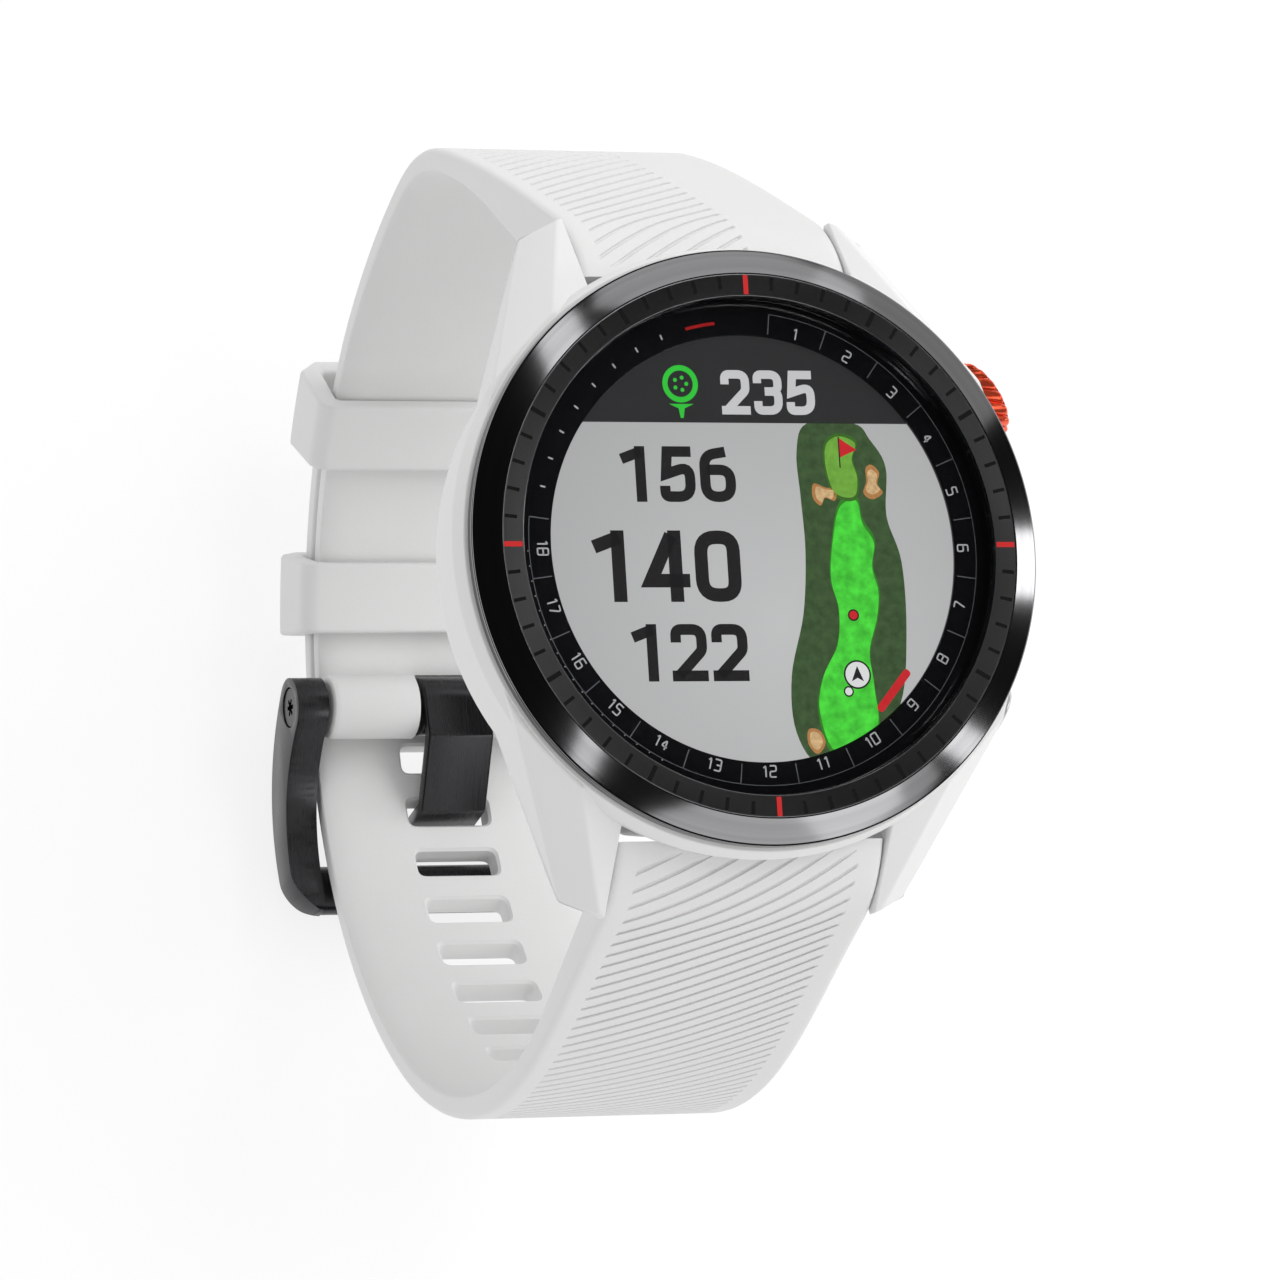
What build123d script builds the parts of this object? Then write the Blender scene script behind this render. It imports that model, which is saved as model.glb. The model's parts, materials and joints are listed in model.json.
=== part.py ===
from build123d import *
import math
import os

# Golf GPS watch, buckled as if worn.  Millimetres, +Z out of the dial, +Y towards 12 o'clock,
# +X towards 3 o'clock, origin at the centre of the flat case back.

# ---- case, bezel and glass -------------------------------------------------------------
CASE_THICKNESS = 14.8          # case back to the top of the bezel
SHOULDER_Z = 12.6              # flat ledge that the bezel stands on
FLANGE_TOP_R = 23.35           # rim of the case just under the bezel
FLANGE_R = 23.75               # widest line of the round case
FLANGE_Z = 11.1
FLANK_LOW_R = 22.2             # lower edge of the flank
FLANK_LOW_Z = 3.0
CASE_BOTTOM_R = 20.8
CASE_BOTTOM_Z = 0.9
CAVITY_R = 17.6
STRAP_BAY_HALF = 11.1          # half the gap between two lugs
STRAP_BAY_Y = 20.6             # how far the case is cut back between the lugs
STRAP_BAY_TOP = 9.6
BEYOND_LUGS = 30.0             # outside everything on the case
FIT = 0.05                     # radial gap between parts that only locate each other
PRESS = 0.02                   # the same for parts that are pressed together

BEZEL_R = 23.08
BEZEL_EDGE_Z = 13.9            # where the polished cone meets the outer wall
TICK_RING_OUT_R = 21.04
TICK_RING_IN_R = 19.27
GLASS_R = 19.2
GLASS_Z = (12.95, 14.2)
DIAL_RING_Z = (12.6, 12.9)
SCREEN_R = 16.51               # 1.3 inch round screen
PANEL_R = 17.2
PANEL_Z = (10.9, 12.5)

# ---- lugs: flat facets, each (outward normal, distance from the origin) -----------------
LUG_BLOCK = ((11.1, 24.5), (9.0, 28.5), (3.0, 12.5))      # x, y and z spans before faceting
LUG_FACETS = [
    ((0.622, 0.615, 0.483), 26.66),      # broad upper facet
    ((-0.068, 0.599, 0.799), 19.90),     # inner facet beside the strap
    ((0.935, 0.296, -0.194), 20.24),     # outer flank
    ((0.423, 0.906, 0.0), 29.42),        # tip
    ((0.0, 0.339, -0.941), 5.11),        # underside of the tip
]
LUG_PIN_Y = 23.9
LUG_PIN_Z = 5.4
LUG_PIN_R = 0.9
LUG_PIN_HALF = 12.6

# ---- wrist loop ----------------------------------------------------------------------
LOOP_Y, LOOP_Z = 0.5, -22.3    # axis of the round back of the loop
SEAM_R = 38.6                  # inner face of the outer strap half at the back
STRAP_T = 2.2
STRAP_HALF = 11.0
HALF_GAP = 0.1                 # between the two strap halves where they lie together
END_TOP = (21.9, 8.9)          # upper edge of a strap's end block, next to the case
END_FOOT = (21.9, 1.9)
END_ARC_R = 11.1
END_ARC_FROM, END_ARC_SWEEP = -21.0, -43.0
TWELVE_START = 267.6           # angle of the buckle end of the 12 o'clock half
TWELVE_BACK_R = SEAM_R - HALF_GAP - STRAP_T
TWELVE_ARCS = [(TWELVE_BACK_R, 54.4), (55.0, 16.0), (12.0, 40.0), (50.0, 16.0)]    # radius, sweep
TWELVE_OUTER_ARCS = TWELVE_ARCS[:3]        # the outer face leaves the arcs earlier, to thicken
TWELVE_RUN = 13.5              # straight run from the last arc to the lugs
SIX_START = 306.0              # angle of the tip of the 6 o'clock half
SIX_ARCS = [(SEAM_R, -93.0), (31.2, -66.0)]
SIX_OUTER_ARCS = [(SEAM_R, -93.0), (31.2, -53.0)]
SIX_RUN = 12.0

SLOT_COUNT = 11
SLOT_FIRST = -58.2             # degrees from straight down, towards 12 o'clock
SLOT_PITCH = 7.12
SLOT_LONG, SLOT_WIDE, SLOT_CORNER = 7.2, 2.4, 0.7

# release slider of each strap: body, thumb ridges and pocket (across, along the strap, deep)
SLIDER = (8.0, 3.2, 1.3)
SLIDER_RIDGE = (7.0, 0.45, 0.4)
SLIDER_RIDGE_PITCH = 1.0
SLIDER_OFFSET = 0.9            # rest place, from the pocket's middle towards the case
POCKET = (8.3, 5.4, 1.5)
SLIDER_SINK = 0.02             # the slider lies this far below the strap's face
SLIDER_RIDGE_SINK = 0.35       # the ridges start this far above it
POCKET_PLACE = 0.55            # along the straight run

KEEPER_WIDTH = 6.5
KEEPER_ANGLES = {"keeper_upper": 35.5, "keeper_lower": 12.5}
KEEPER_GAP = 0.2
KEEPER_OUTER_T, KEEPER_INNER_T = 1.8, 1.5
KEEPER_HALF = 13.0
KEEPER_BEVEL, KEEPER_TUCK = 1.7, 0.9       # corners of the outer and of the inner band

# ---- buckle --------------------------------------------------------------------------
BAR_Y, BAR_Z = -1.0, -58.0
BAR_R = 1.0
BAR_END = 0.85                 # the bar stops this far inside the frame's outer face
BULGE_R = 2.7                  # strap wrapped round the bar
RUN_CLEARANCE = 0.06           # radial, of what turns on the bar
FRAME_IN, FRAME_OUT = 11.5, 14.2
FRAME_HEAD_R, FRAME_TIP_R = 2.5, 1.4       # half depth of a side arm at the bar and at the end
FRAME_BEND = (40.7, -12.5)     # radius and angle of the middle of a side arm
FRAME_CORNER_R = 3.6
FRAME_TAIL = 1.3               # the frame ends this far behind the crossbar's far edge
ARM_INSET = 0.3                # the arms end this far inside the crossbar's line
CROSSBAR_R = 42.6              # distance of the far crossbar's middle from the loop axis
CROSSBAR_ANGLES = (-21.6, -24.4)
CROSSBAR_HALF_T = 1.15
SCREW_HEAD_R, SCREW_HEAD_Z = 1.6, (0.1, 0.72)          # depth below the frame's outer face
SCREW_RECESS, SCREW_CLEARANCE = 0.75, 0.12
SCREW_DRIVE = (1.5, 0.36, 0.8)
TONGUE_HALF = 2.9
TONGUE_HALF_T = 0.55
TONGUE_PATH = [(-1.0, -56.05), (-3.8, -55.6), (-9.55, -58.6), (-10.65, -62.4)]
TONGUE_LOOP_R = 2.5
NOTCH_HALF, NOTCH_Y = 3.4, (-4.8, 1.8)     # opening in the strap for the tongue's loop

# ---- inside the case -----------------------------------------------------------------
CHASSIS_R, CHASSIS_WALL_R = 17.4, 16.9
CHASSIS_Z = (3.08, 3.35)       # floor of the tray
CHASSIS_TOP = 5.9              # rim of the tray, below the button stems
BOSS_R, BOSS_TOP = 0.95, 7.45
BOARD_R = 17.0
BOARD_Z = (7.5, 8.4)
BOARD_SCREWS = [(7.0, 13.2), (-13.0, 6.5), (0.0, -14.5)]
BOARD_SCREW_R, BOARD_SCREW_HEAD_R = 0.6, 1.1
BOARD_SCREW_HEAD_T, BOARD_SCREW_BITE, BOARD_SCREW_HOLE = 0.4, 0.45, 0.6
BOARD_NOTCH_R, BOARD_NOTCH = 16.2, (4.2, 4.0, 2.0)     # gap in the rim for each button stem
DISPLAY_FRAME = (17.4, 15.6, 8.9, 10.8)    # outer and inner radius, bottom and top
DISPLAY_RIB = (3.0, 0.8)       # width and height of the rib across it
BATTERY = ((-1.5, 0.0), (20.0, 22.0, 3.5), 3.0)        # place, size and corner radius
ANTENNA = ((0.0, 13.6), (12.0, 3.6, 3.0), 0.6)
MOTOR_R, MOTOR_LENGTH = 1.6, 7.0
MOTOR_PLACE = (-8.2, -12.9)
BUZZER_R, BUZZER_HEIGHT = 2.6, 2.4
BUZZER_PLACE = (11.6, -7.6)
SENSOR, SENSOR_Z, SENSOR_CORNER = (13.0, 13.0, 1.3), 1.75, 2.0
SENSOR_WINDOW_T = 1.5
COVER_T, COVER_LIP_Z = 1.6, 0.88
COVER_PROFILE = [(0, 0), (19.9, 0), (20.5, 0.5), (20.5, COVER_LIP_Z), (17.4, COVER_LIP_Z), (17.4, COVER_T),
                 (0, COVER_T)]
SENSOR_WINDOW_R = 8.95
COVER_SCREW_R, COVER_SCREW_HEAD_R = 0.55, 0.9
COVER_SCREW_CIRCLE = 19.4
COVER_SCREW_DEPTH = 3.0        # tapped depth in the case
COVER_SCREW_Z = (0.05, 0.45, 3.65)         # head, underside of the head and end
COVER_SCREW_SLOT = (1.3, 0.25, 0.4)
GASKET_R = (18.5, 18.0)
GASKET_Z = (0.89, 1.38)
CONTACTS_X = (-3.3, -1.1, 1.1, 3.3)
CONTACT_R = 0.7
CONTACT_Z = (0.1, 1.9)
INSULATOR_Z, INSULATOR_T = 0.4, 1.2
PORT_Y = -13.5
PORT = (10.0, 3.6, 1.0)        # length, width and corner of the charging port

# ---- buttons: angle, cap radius, how far the cap reaches, grip grooves --------------------
BUTTON_Z = 7.3
BUTTONS = {
    "upper": (30.0, 3.3, 26.0, 22),
    "middle": (0.0, 2.6, 24.2, 0),
    "lower": (-30.0, 2.6, 24.9, 0),
}
BUTTON_TRAVEL = 0.6
BUTTON_SEAT = 22.1             # floor of the recess in the case
CAP_CLEARANCE = 0.15
CAP_CHAMFER = 0.4
STEM_R, STEM_END = 1.2, 16.4
STEM_CLEARANCE = 0.1
SEAL_SPAN = (18.9, 19.5)       # groove of the sealing ring in the stem
SEAL_GROOVE_R = 0.85
SEAL_BULGE = 0.08              # the seal stands a little proud of the stem
SLEEVE_START, SLEEVE_WALL = 17.7, 0.48
SWITCH = (2.2, 3.4, 1.2)
SWITCH_START = 14.3
SWITCH_DOME = (0.6, 0.25)      # radius and height
GROOVE_SLANT, GROOVE_SIZE = -38.0, 0.34     # diagonal grip grooves of the upper button
GROOVE_BACK, GROOVE_LENGTH = 1.4, 5.0      # middle of a groove behind the face, and its length

os.makedirs("parts", exist_ok=True)


def write(name, shape):
    export_step(shape, f"parts/{name}.step")


def disc(radius, z0, z1):
    return Pos(0, 0, z0) * extrude(Circle(radius), z1 - z0)


def ring(outer, inner, z0, z1):
    return Pos(0, 0, z0) * extrude(Circle(outer) - Circle(inner), z1 - z0)


def turned(points):
    """Solid of revolution about Z from (radius, z) points."""
    return revolve(Plane.XZ * make_face(Polyline(*points, close=True)), Axis.Z)


def across(face_yz, x0, x1):
    """Extrude a (y, z) outline from x0 to x1."""
    return Pos(x0, 0, 0) * extrude(Plane.YZ * face_yz, x1 - x0)


def on_loop(radius, degrees):
    """(y, z) of a point of the loop, by its angle from straight down towards 12 o'clock."""
    angle = math.radians(degrees)
    return LOOP_Y + radius * math.sin(angle), LOOP_Z - radius * math.cos(angle)


# ---- case ----------------------------------------------------------------------------
def lug():
    """One faceted lug, at +X and +Y."""
    (x0, x1), (y0, y1), (z0, z1) = LUG_BLOCK
    block = Pos((x0 + x1) / 2, (y0 + y1) / 2, (z0 + z1) / 2) * Box(x1 - x0, y1 - y0, z1 - z0)
    for normal, distance in LUG_FACETS:
        n = Vector(*normal).normalized()
        block = split(block, Plane(origin=n * distance, z_dir=n), keep=Keep.BOTTOM)
    return block


def button_place(degrees):
    """Frame whose +Z runs outwards along a button's axis, from the watch's centre line."""
    return Pos(0, 0, BUTTON_Z) * Rot(0, 0, degrees) * Rot(0, 90, 0)


def along(radius, r0, r1):
    """Cylinder on the local +Z axis from r0 to r1."""
    return Pos(0, 0, r0) * extrude(Circle(radius), r1 - r0)


def make_case():
    body = turned([
        (CAVITY_R, CASE_BOTTOM_Z), (CASE_BOTTOM_R, CASE_BOTTOM_Z), (FLANK_LOW_R, FLANK_LOW_Z),
        (FLANGE_R, FLANGE_Z), (FLANGE_TOP_R, SHOULDER_Z), (CAVITY_R, SHOULDER_Z)])
    one = lug()
    for sx, sy in ((1, 1), (-1, 1), (1, -1), (-1, -1)):
        piece = one if sx > 0 else mirror(one, Plane.YZ)
        body += piece if sy > 0 else mirror(piece, Plane.XZ)
    body -= disc(CAVITY_R, 0, SHOULDER_Z)
    bay_y = BEYOND_LUGS - STRAP_BAY_Y
    for side in (1, -1):
        middle = side * (STRAP_BAY_Y + bay_y / 2)
        body -= Pos(0, middle, STRAP_BAY_TOP / 2) * Box(2 * STRAP_BAY_HALF, bay_y, STRAP_BAY_TOP)
        body -= Pos(-LUG_PIN_HALF, side * LUG_PIN_Y, LUG_PIN_Z) * Rot(0, 90, 0) * along(
            LUG_PIN_R, 0, 2 * LUG_PIN_HALF)
    for degrees, cap_r, _, _ in BUTTONS.values():
        place = button_place(degrees)
        body -= place * along(cap_r + CAP_CLEARANCE, BUTTON_SEAT, BEYOND_LUGS)
        body -= place * along(STEM_R + SLEEVE_WALL + PRESS, SWITCH_START, BEYOND_LUGS)
    for x, y in cover_screw_places():
        body -= Pos(x, y, CASE_BOTTOM_Z) * extrude(Circle(COVER_SCREW_R + FIT), COVER_SCREW_DEPTH)
    return body - ring(GASKET_R[0] + FIT, GASKET_R[1] - FIT, CASE_BOTTOM_Z, GASKET_Z[1] + PRESS)


def make_bezel():
    return turned([
        (TICK_RING_IN_R, SHOULDER_Z), (BEZEL_R, SHOULDER_Z), (BEZEL_R, BEZEL_EDGE_Z),
        (TICK_RING_OUT_R, CASE_THICKNESS), (TICK_RING_IN_R, CASE_THICKNESS)])


def cover_screw_places():
    """Four case-back screws, on the diagonals."""
    angles = [math.radians(a) for a in (45, 135, 225, 315)]
    return [(COVER_SCREW_CIRCLE * math.cos(a), COVER_SCREW_CIRCLE * math.sin(a)) for a in angles]


# ---- inside the case ---------------------------------------------------------------------
def block(x, y, z, size, corner):
    """Upright block with rounded corners, standing on z."""
    return Pos(x, y, z) * extrude(RectangleRounded(size[0], size[1], corner), size[2])


def write_display_stack():
    write("front_lens", disc(GLASS_R, *GLASS_Z))
    write("dial_ring", ring(GLASS_R, SCREEN_R, *DIAL_RING_Z))
    write("display_panel", disc(PANEL_R, *PANEL_Z))
    outer, inner, z0, z1 = DISPLAY_FRAME
    rib = Pos(0, 0, z0) * extrude(Rectangle(2 * outer, DISPLAY_RIB[0]), DISPLAY_RIB[1])
    write("display_frame", ring(outer, inner, z0, z1) + (rib & disc((inner + outer) / 2, z0, z1)))


def write_chassis():
    """Tray that carries the battery, with three bosses for the board's screws."""
    floor, rim = disc(CHASSIS_R, *CHASSIS_Z), ring(CHASSIS_R, CHASSIS_WALL_R, CHASSIS_Z[0], CHASSIS_TOP)
    tray = floor + rim
    for x, y in BOARD_SCREWS:
        tray += Pos(x, y, 0) * disc(BOSS_R, CHASSIS_Z[0], BOSS_TOP)
        tray -= Pos(x, y, 0) * disc(BOARD_SCREW_R + PRESS, BOSS_TOP - BOARD_SCREW_HOLE, BOSS_TOP)
    write("inner_chassis", tray)


def write_board():
    board = disc(BOARD_R, *BOARD_Z)
    screws = []
    head_z = BOARD_Z[1] + PRESS
    for x, y in BOARD_SCREWS:
        board -= Pos(x, y, 0) * disc(BOARD_SCREW_R + 2 * FIT, *BOARD_Z)
        screws.append(Pos(x, y, 0) * (disc(BOARD_SCREW_R, BOSS_TOP - BOARD_SCREW_BITE, head_z)
                                      + disc(BOARD_SCREW_HEAD_R, head_z, head_z + BOARD_SCREW_HEAD_T)))
    for degrees, *_ in BUTTONS.values():
        notch = Pos(BOARD_NOTCH_R, 0, BOARD_Z[0]) * Box(*BOARD_NOTCH)
        board -= Rot(0, 0, degrees) * notch
    write("main_board", board)
    write("board_screws", Compound(screws))


def write_modules():
    floor = CHASSIS_Z[1] + FIT
    for name, ((x, y), size, corner) in (("battery", BATTERY), ("gps_antenna", ANTENNA)):
        write(name, block(x, y, floor, size, corner))
    motor = Rot(0, 90, 0) * along(MOTOR_R, 0, MOTOR_LENGTH)
    write("vibration_motor", Pos(*MOTOR_PLACE, floor + MOTOR_R) * motor)
    write("buzzer", Pos(*BUZZER_PLACE, floor) * extrude(Circle(BUZZER_R), BUZZER_HEIGHT))
    write("heart_rate_sensor", block(0, 0, SENSOR_Z, SENSOR, SENSOR_CORNER))


def write_case_back():
    cover = turned(COVER_PROFILE)
    cover -= disc(SENSOR_WINDOW_R + FIT, 0, COVER_T)
    cover -= block(0, PORT_Y, 0, (PORT[0], PORT[1], COVER_T), PORT[2])
    screws = []
    for x, y in cover_screw_places():
        head_z, seat_z, end_z = COVER_SCREW_Z
        cover -= Pos(x, y, 0) * (disc(COVER_SCREW_HEAD_R + FIT, 0, seat_z)
                                 + disc(COVER_SCREW_R + 2 * FIT, 0, CASE_BOTTOM_Z))
        screw = disc(COVER_SCREW_HEAD_R, head_z, seat_z) + disc(COVER_SCREW_R, head_z, end_z)
        screws.append(Pos(x, y, 0) * (screw - Pos(0, 0, head_z) * Box(*COVER_SCREW_SLOT)))
    write("back_cover", cover)
    write("back_screws", Compound(screws))
    write("back_gasket", ring(*GASKET_R, *GASKET_Z))
    write("sensor_window", disc(SENSOR_WINDOW_R, 0, SENSOR_WINDOW_T))
    size = (PORT[0] - 2 * FIT, PORT[1] - 2 * FIT, INSULATOR_T)
    insulator = block(0, PORT_Y, INSULATOR_Z, size, PORT[2] - FIT)
    for x in CONTACTS_X:
        insulator -= Pos(x, PORT_Y, 0) * disc(CONTACT_R + PRESS, 0, INSULATOR_Z + INSULATOR_T)
    write("charge_port_insulator", insulator)
    contacts = [Pos(x, PORT_Y, 0) * disc(CONTACT_R, *CONTACT_Z) for x in CONTACTS_X]
    write("charge_contacts", Compound(contacts))


# ---- buttons -----------------------------------------------------------------------------
def button_cap(cap_r, reach, grooves):
    cap = along(cap_r, BUTTON_SEAT + BUTTON_TRAVEL + CAP_CLEARANCE, reach)
    cap = chamfer(cap.edges().group_by(Axis.Z)[-1], CAP_CHAMFER)
    for k in range(grooves):
        slant = Pos(cap_r, 0, reach - GROOVE_BACK) * Rot(GROOVE_SLANT, 0, 0) * Rot(0, 0, 45)
        cap -= Rot(0, 0, 360 * k / grooves) * slant * Box(GROOVE_SIZE, GROOVE_SIZE, GROOVE_LENGTH)
    return cap


def write_button(name, degrees, cap_r, reach, grooves):
    """Cap and stem, with the sealing ring, guide sleeve and switch on the same axis."""
    place = button_place(degrees)
    s0, s1 = SEAL_SPAN
    groove = along(2 * STEM_R, s0, s1) - along(SEAL_GROOVE_R, s0, s1)
    stem = along(STEM_R, STEM_END, BUTTON_SEAT + 1) - groove
    write(f"button_{name}", place * (button_cap(cap_r, reach, grooves) + stem))
    seal = along(STEM_R + SEAL_BULGE, s0 + FIT, s1 - FIT) - along(SEAL_GROOVE_R + PRESS, s0, s1)
    write(f"button_seal_{name}", place * seal)
    sleeve_bore = along(STEM_R + STEM_CLEARANCE, SLEEVE_START, BUTTON_SEAT)
    sleeve = along(STEM_R + SLEEVE_WALL, SLEEVE_START, BUTTON_SEAT - FIT) - sleeve_bore
    write(f"button_sleeve_{name}", place * sleeve)
    body_end = SWITCH_START + SWITCH[2]
    switch = Pos(0, 0, SWITCH_START) * extrude(Rectangle(SWITCH[0], SWITCH[1]), SWITCH[2])
    switch += along(SWITCH_DOME[0], body_end, body_end + SWITCH_DOME[1])
    write(f"button_switch_{name}", place * switch)


# ---- strap -------------------------------------------------------------------------------
def arc_chain(start, arcs, offset):
    """Tangent arcs that begin on the loop's round back; offset moves them outwards."""
    y, z, angle, pieces = LOOP_Y, LOOP_Z, start, []
    last = arcs[0][0]
    for radius, sweep in arcs:
        y += (last - radius) * math.cos(math.radians(angle))
        z += (last - radius) * math.sin(math.radians(angle))
        pieces.append(CenterArc((y, z), radius + offset, angle, sweep))
        angle += sweep
        last = radius
    return pieces


def strap_outline(start, arcs, outer_arcs, run, side):
    """Closed (y, z) outline of one strap half, from its free end to its end block."""
    inner = arc_chain(start, arcs, 0.0)
    outer = arc_chain(start, outer_arcs, STRAP_T)
    heading = inner[-1] % 1
    straight = Line(inner[-1] @ 1, (inner[-1] @ 1) + heading * run)
    foot = (side * END_FOOT[0], END_FOOT[1])
    top = (side * END_TOP[0], END_TOP[1])
    start_turn = math.radians(END_ARC_FROM)
    tangent = (side * math.cos(start_turn), math.sin(start_turn))
    shoulder = JernArc(top, tangent, END_ARC_R, side * END_ARC_SWEEP)
    blend = Spline(shoulder @ 1, outer[-1] @ 1, tangents=[shoulder % 1, (outer[-1] % 1) * -1])
    edges = inner + outer + [straight, Line(straight @ 1, foot), Line(foot, top), shoulder, blend]
    edges.append(Line(inner[0] @ 0, outer[0] @ 0))
    return make_face(edges), straight


def tongue_slots():
    cutters = []
    for k in range(SLOT_COUNT):
        degrees = SLOT_FIRST + k * SLOT_PITCH
        y, z = on_loop(SEAM_R + STRAP_T / 2, degrees)
        shape = extrude(RectangleRounded(SLOT_LONG, SLOT_WIDE, SLOT_CORNER), STRAP_T, both=True)
        cutters.append(Pos(0, y, z) * Rot(degrees, 0, 0) * shape)
    return cutters


def lug_bore(side):
    return Pos(0, side * LUG_PIN_Y, LUG_PIN_Z) * Rot(0, 90, 0) * along(LUG_PIN_R, -STRAP_HALF, STRAP_HALF)


def slider_plane(straight):
    """On the inner face of a strap's straight run; +Z goes into the strap."""
    middle = straight @ POCKET_PLACE
    heading = straight % POCKET_PLACE
    normal = Vector(1, 0, 0).cross(Vector(0, heading.X, heading.Y))
    if normal.Y * middle.X < 0:
        normal = normal * -1
    return Plane(origin=(0, middle.X, middle.Y), x_dir=(1, 0, 0), z_dir=normal)


def release_slider(toward_case):
    """Thumb slider of the quick-release pin, in the pocket's own plane."""
    across_size, along_size, deep = SLIDER
    centre = toward_case * SLIDER_OFFSET
    slider = Pos(0, centre, SLIDER_SINK) * extrude(Rectangle(across_size, along_size), deep)
    for k in (-1, 0, 1):
        place = Pos(0, centre + k * SLIDER_RIDGE_PITCH, -SLIDER_RIDGE_SINK)
        slider += place * extrude(Rectangle(SLIDER_RIDGE[0], SLIDER_RIDGE[1]), SLIDER_RIDGE[2])
    return slider


def finish_strap(strap, straight, side):
    """Bore the lug end and fit the release slider into its pocket."""
    strap -= lug_bore(side)
    plane = slider_plane(straight)
    heading = straight % POCKET_PLACE
    toward_case = 1 if plane.y_dir.dot(Vector(0, heading.X, heading.Y)) > 0 else -1
    strap -= plane * (Pos(0, 0, -POCKET[2]) * extrude(Rectangle(POCKET[0], POCKET[1]), 2 * POCKET[2]))
    write("release_slider_12" if side > 0 else "release_slider_6", plane * release_slider(toward_case))
    return strap


def make_strap_twelve():
    outline, straight = strap_outline(TWELVE_START, TWELVE_ARCS, TWELVE_OUTER_ARCS, TWELVE_RUN, 1)
    strap = across(outline, -STRAP_HALF, STRAP_HALF)
    bar = Pos(-STRAP_HALF, BAR_Y, BAR_Z) * Rot(0, 90, 0)
    strap += bar * extrude(Circle(BULGE_R), 2 * STRAP_HALF)
    strap -= bar * extrude(Circle(BAR_R), 2 * STRAP_HALF)
    notch = Box(2 * NOTCH_HALF, NOTCH_Y[1] - NOTCH_Y[0], 3 * BULGE_R)
    strap -= Pos(0, (NOTCH_Y[0] + NOTCH_Y[1]) / 2, BAR_Z) * notch
    return finish_strap(strap, straight, 1)


def make_strap_six():
    outline, straight = strap_outline(SIX_START, SIX_ARCS, SIX_OUTER_ARCS, SIX_RUN, -1)
    strap = across(outline, -STRAP_HALF, STRAP_HALF)
    for cutter in tongue_slots():
        strap -= cutter
    return finish_strap(strap, straight, -1)


# ---- keepers -----------------------------------------------------------------------------
def make_keeper(degrees):
    """Band round both strap halves, bent to the loop's round back."""
    inner_r = TWELVE_BACK_R - KEEPER_GAP
    outer_r = SEAM_R + STRAP_T + KEEPER_GAP
    low, high = inner_r - KEEPER_INNER_T, outer_r + KEEPER_OUTER_T
    half_window = STRAP_HALF + KEEPER_GAP
    bevel, tuck = KEEPER_BEVEL, KEEPER_TUCK
    band = make_face(Polyline(
        (-KEEPER_HALF, low + tuck), (-KEEPER_HALF + tuck, low), (KEEPER_HALF - tuck, low),
        (KEEPER_HALF, low + tuck), (KEEPER_HALF, high - bevel), (KEEPER_HALF - bevel, high),
        (-KEEPER_HALF + bevel, high), (-KEEPER_HALF, high - bevel), close=True))
    window = Pos(0, (inner_r + outer_r) / 2) * Rectangle(2 * half_window, outer_r - inner_r)
    span = math.degrees(KEEPER_WIDTH / SEAM_R)
    section = Plane(origin=(0, LOOP_Y, LOOP_Z), x_dir=(1, 0, 0), z_dir=(0, 1, 0)) * (band - window)
    solid = revolve(section, Axis((0, LOOP_Y, LOOP_Z), (1, 0, 0)), span)
    return Pos(0, LOOP_Y, LOOP_Z) * Rot(degrees - span / 2, 0, 0) * Pos(0, -LOOP_Y, -LOOP_Z) * solid


# ---- buckle ------------------------------------------------------------------------------
def taper(p, p_r, q, q_r):
    """Two circles joined by their outer tangents, as a (y, z) face."""
    dy, dz = q[0] - p[0], q[1] - p[1]
    length = math.hypot(dy, dz)
    lean = math.asin((p_r - q_r) / length)
    base = math.atan2(dz, dy)
    corners = []
    for turn in (math.pi / 2 - lean, -math.pi / 2 + lean):
        c, s = math.cos(base + turn), math.sin(base + turn)
        corners.append(((p[0] + p_r * c, p[1] + p_r * s), (q[0] + q_r * c, q[1] + q_r * s)))
    quad = make_face(Polyline(corners[0][0], corners[0][1], corners[1][1], corners[1][0], close=True))
    return Pos(*p) * Circle(p_r) + quad + Pos(*q) * Circle(q_r)


def buckle_arm():
    """Side view of one arm of the frame: a curved, tapering bar with a round head and tip."""
    corner = on_loop(CROSSBAR_R - ARM_INSET, CROSSBAR_ANGLES[1])
    spine = Spline((BAR_Y, BAR_Z), on_loop(*FRAME_BEND), corner)
    upper, lower = [], []
    for k in range(7):
        t = k / 6
        heading = spine % t
        reach = Vector(-heading.Y, heading.X) * (FRAME_HEAD_R + (FRAME_TIP_R - FRAME_HEAD_R) * t)
        upper.append((spine @ t) + reach)
        lower.append((spine @ t) - reach)
    closing = [Line(upper[-1], lower[-1]), Line(lower[0], upper[0])]
    arm = make_face([Spline(*upper), Spline(*lower)] + closing)
    return Pos(BAR_Y, BAR_Z) * Circle(FRAME_HEAD_R) + arm + Pos(*corner) * Circle(FRAME_TIP_R)


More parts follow.
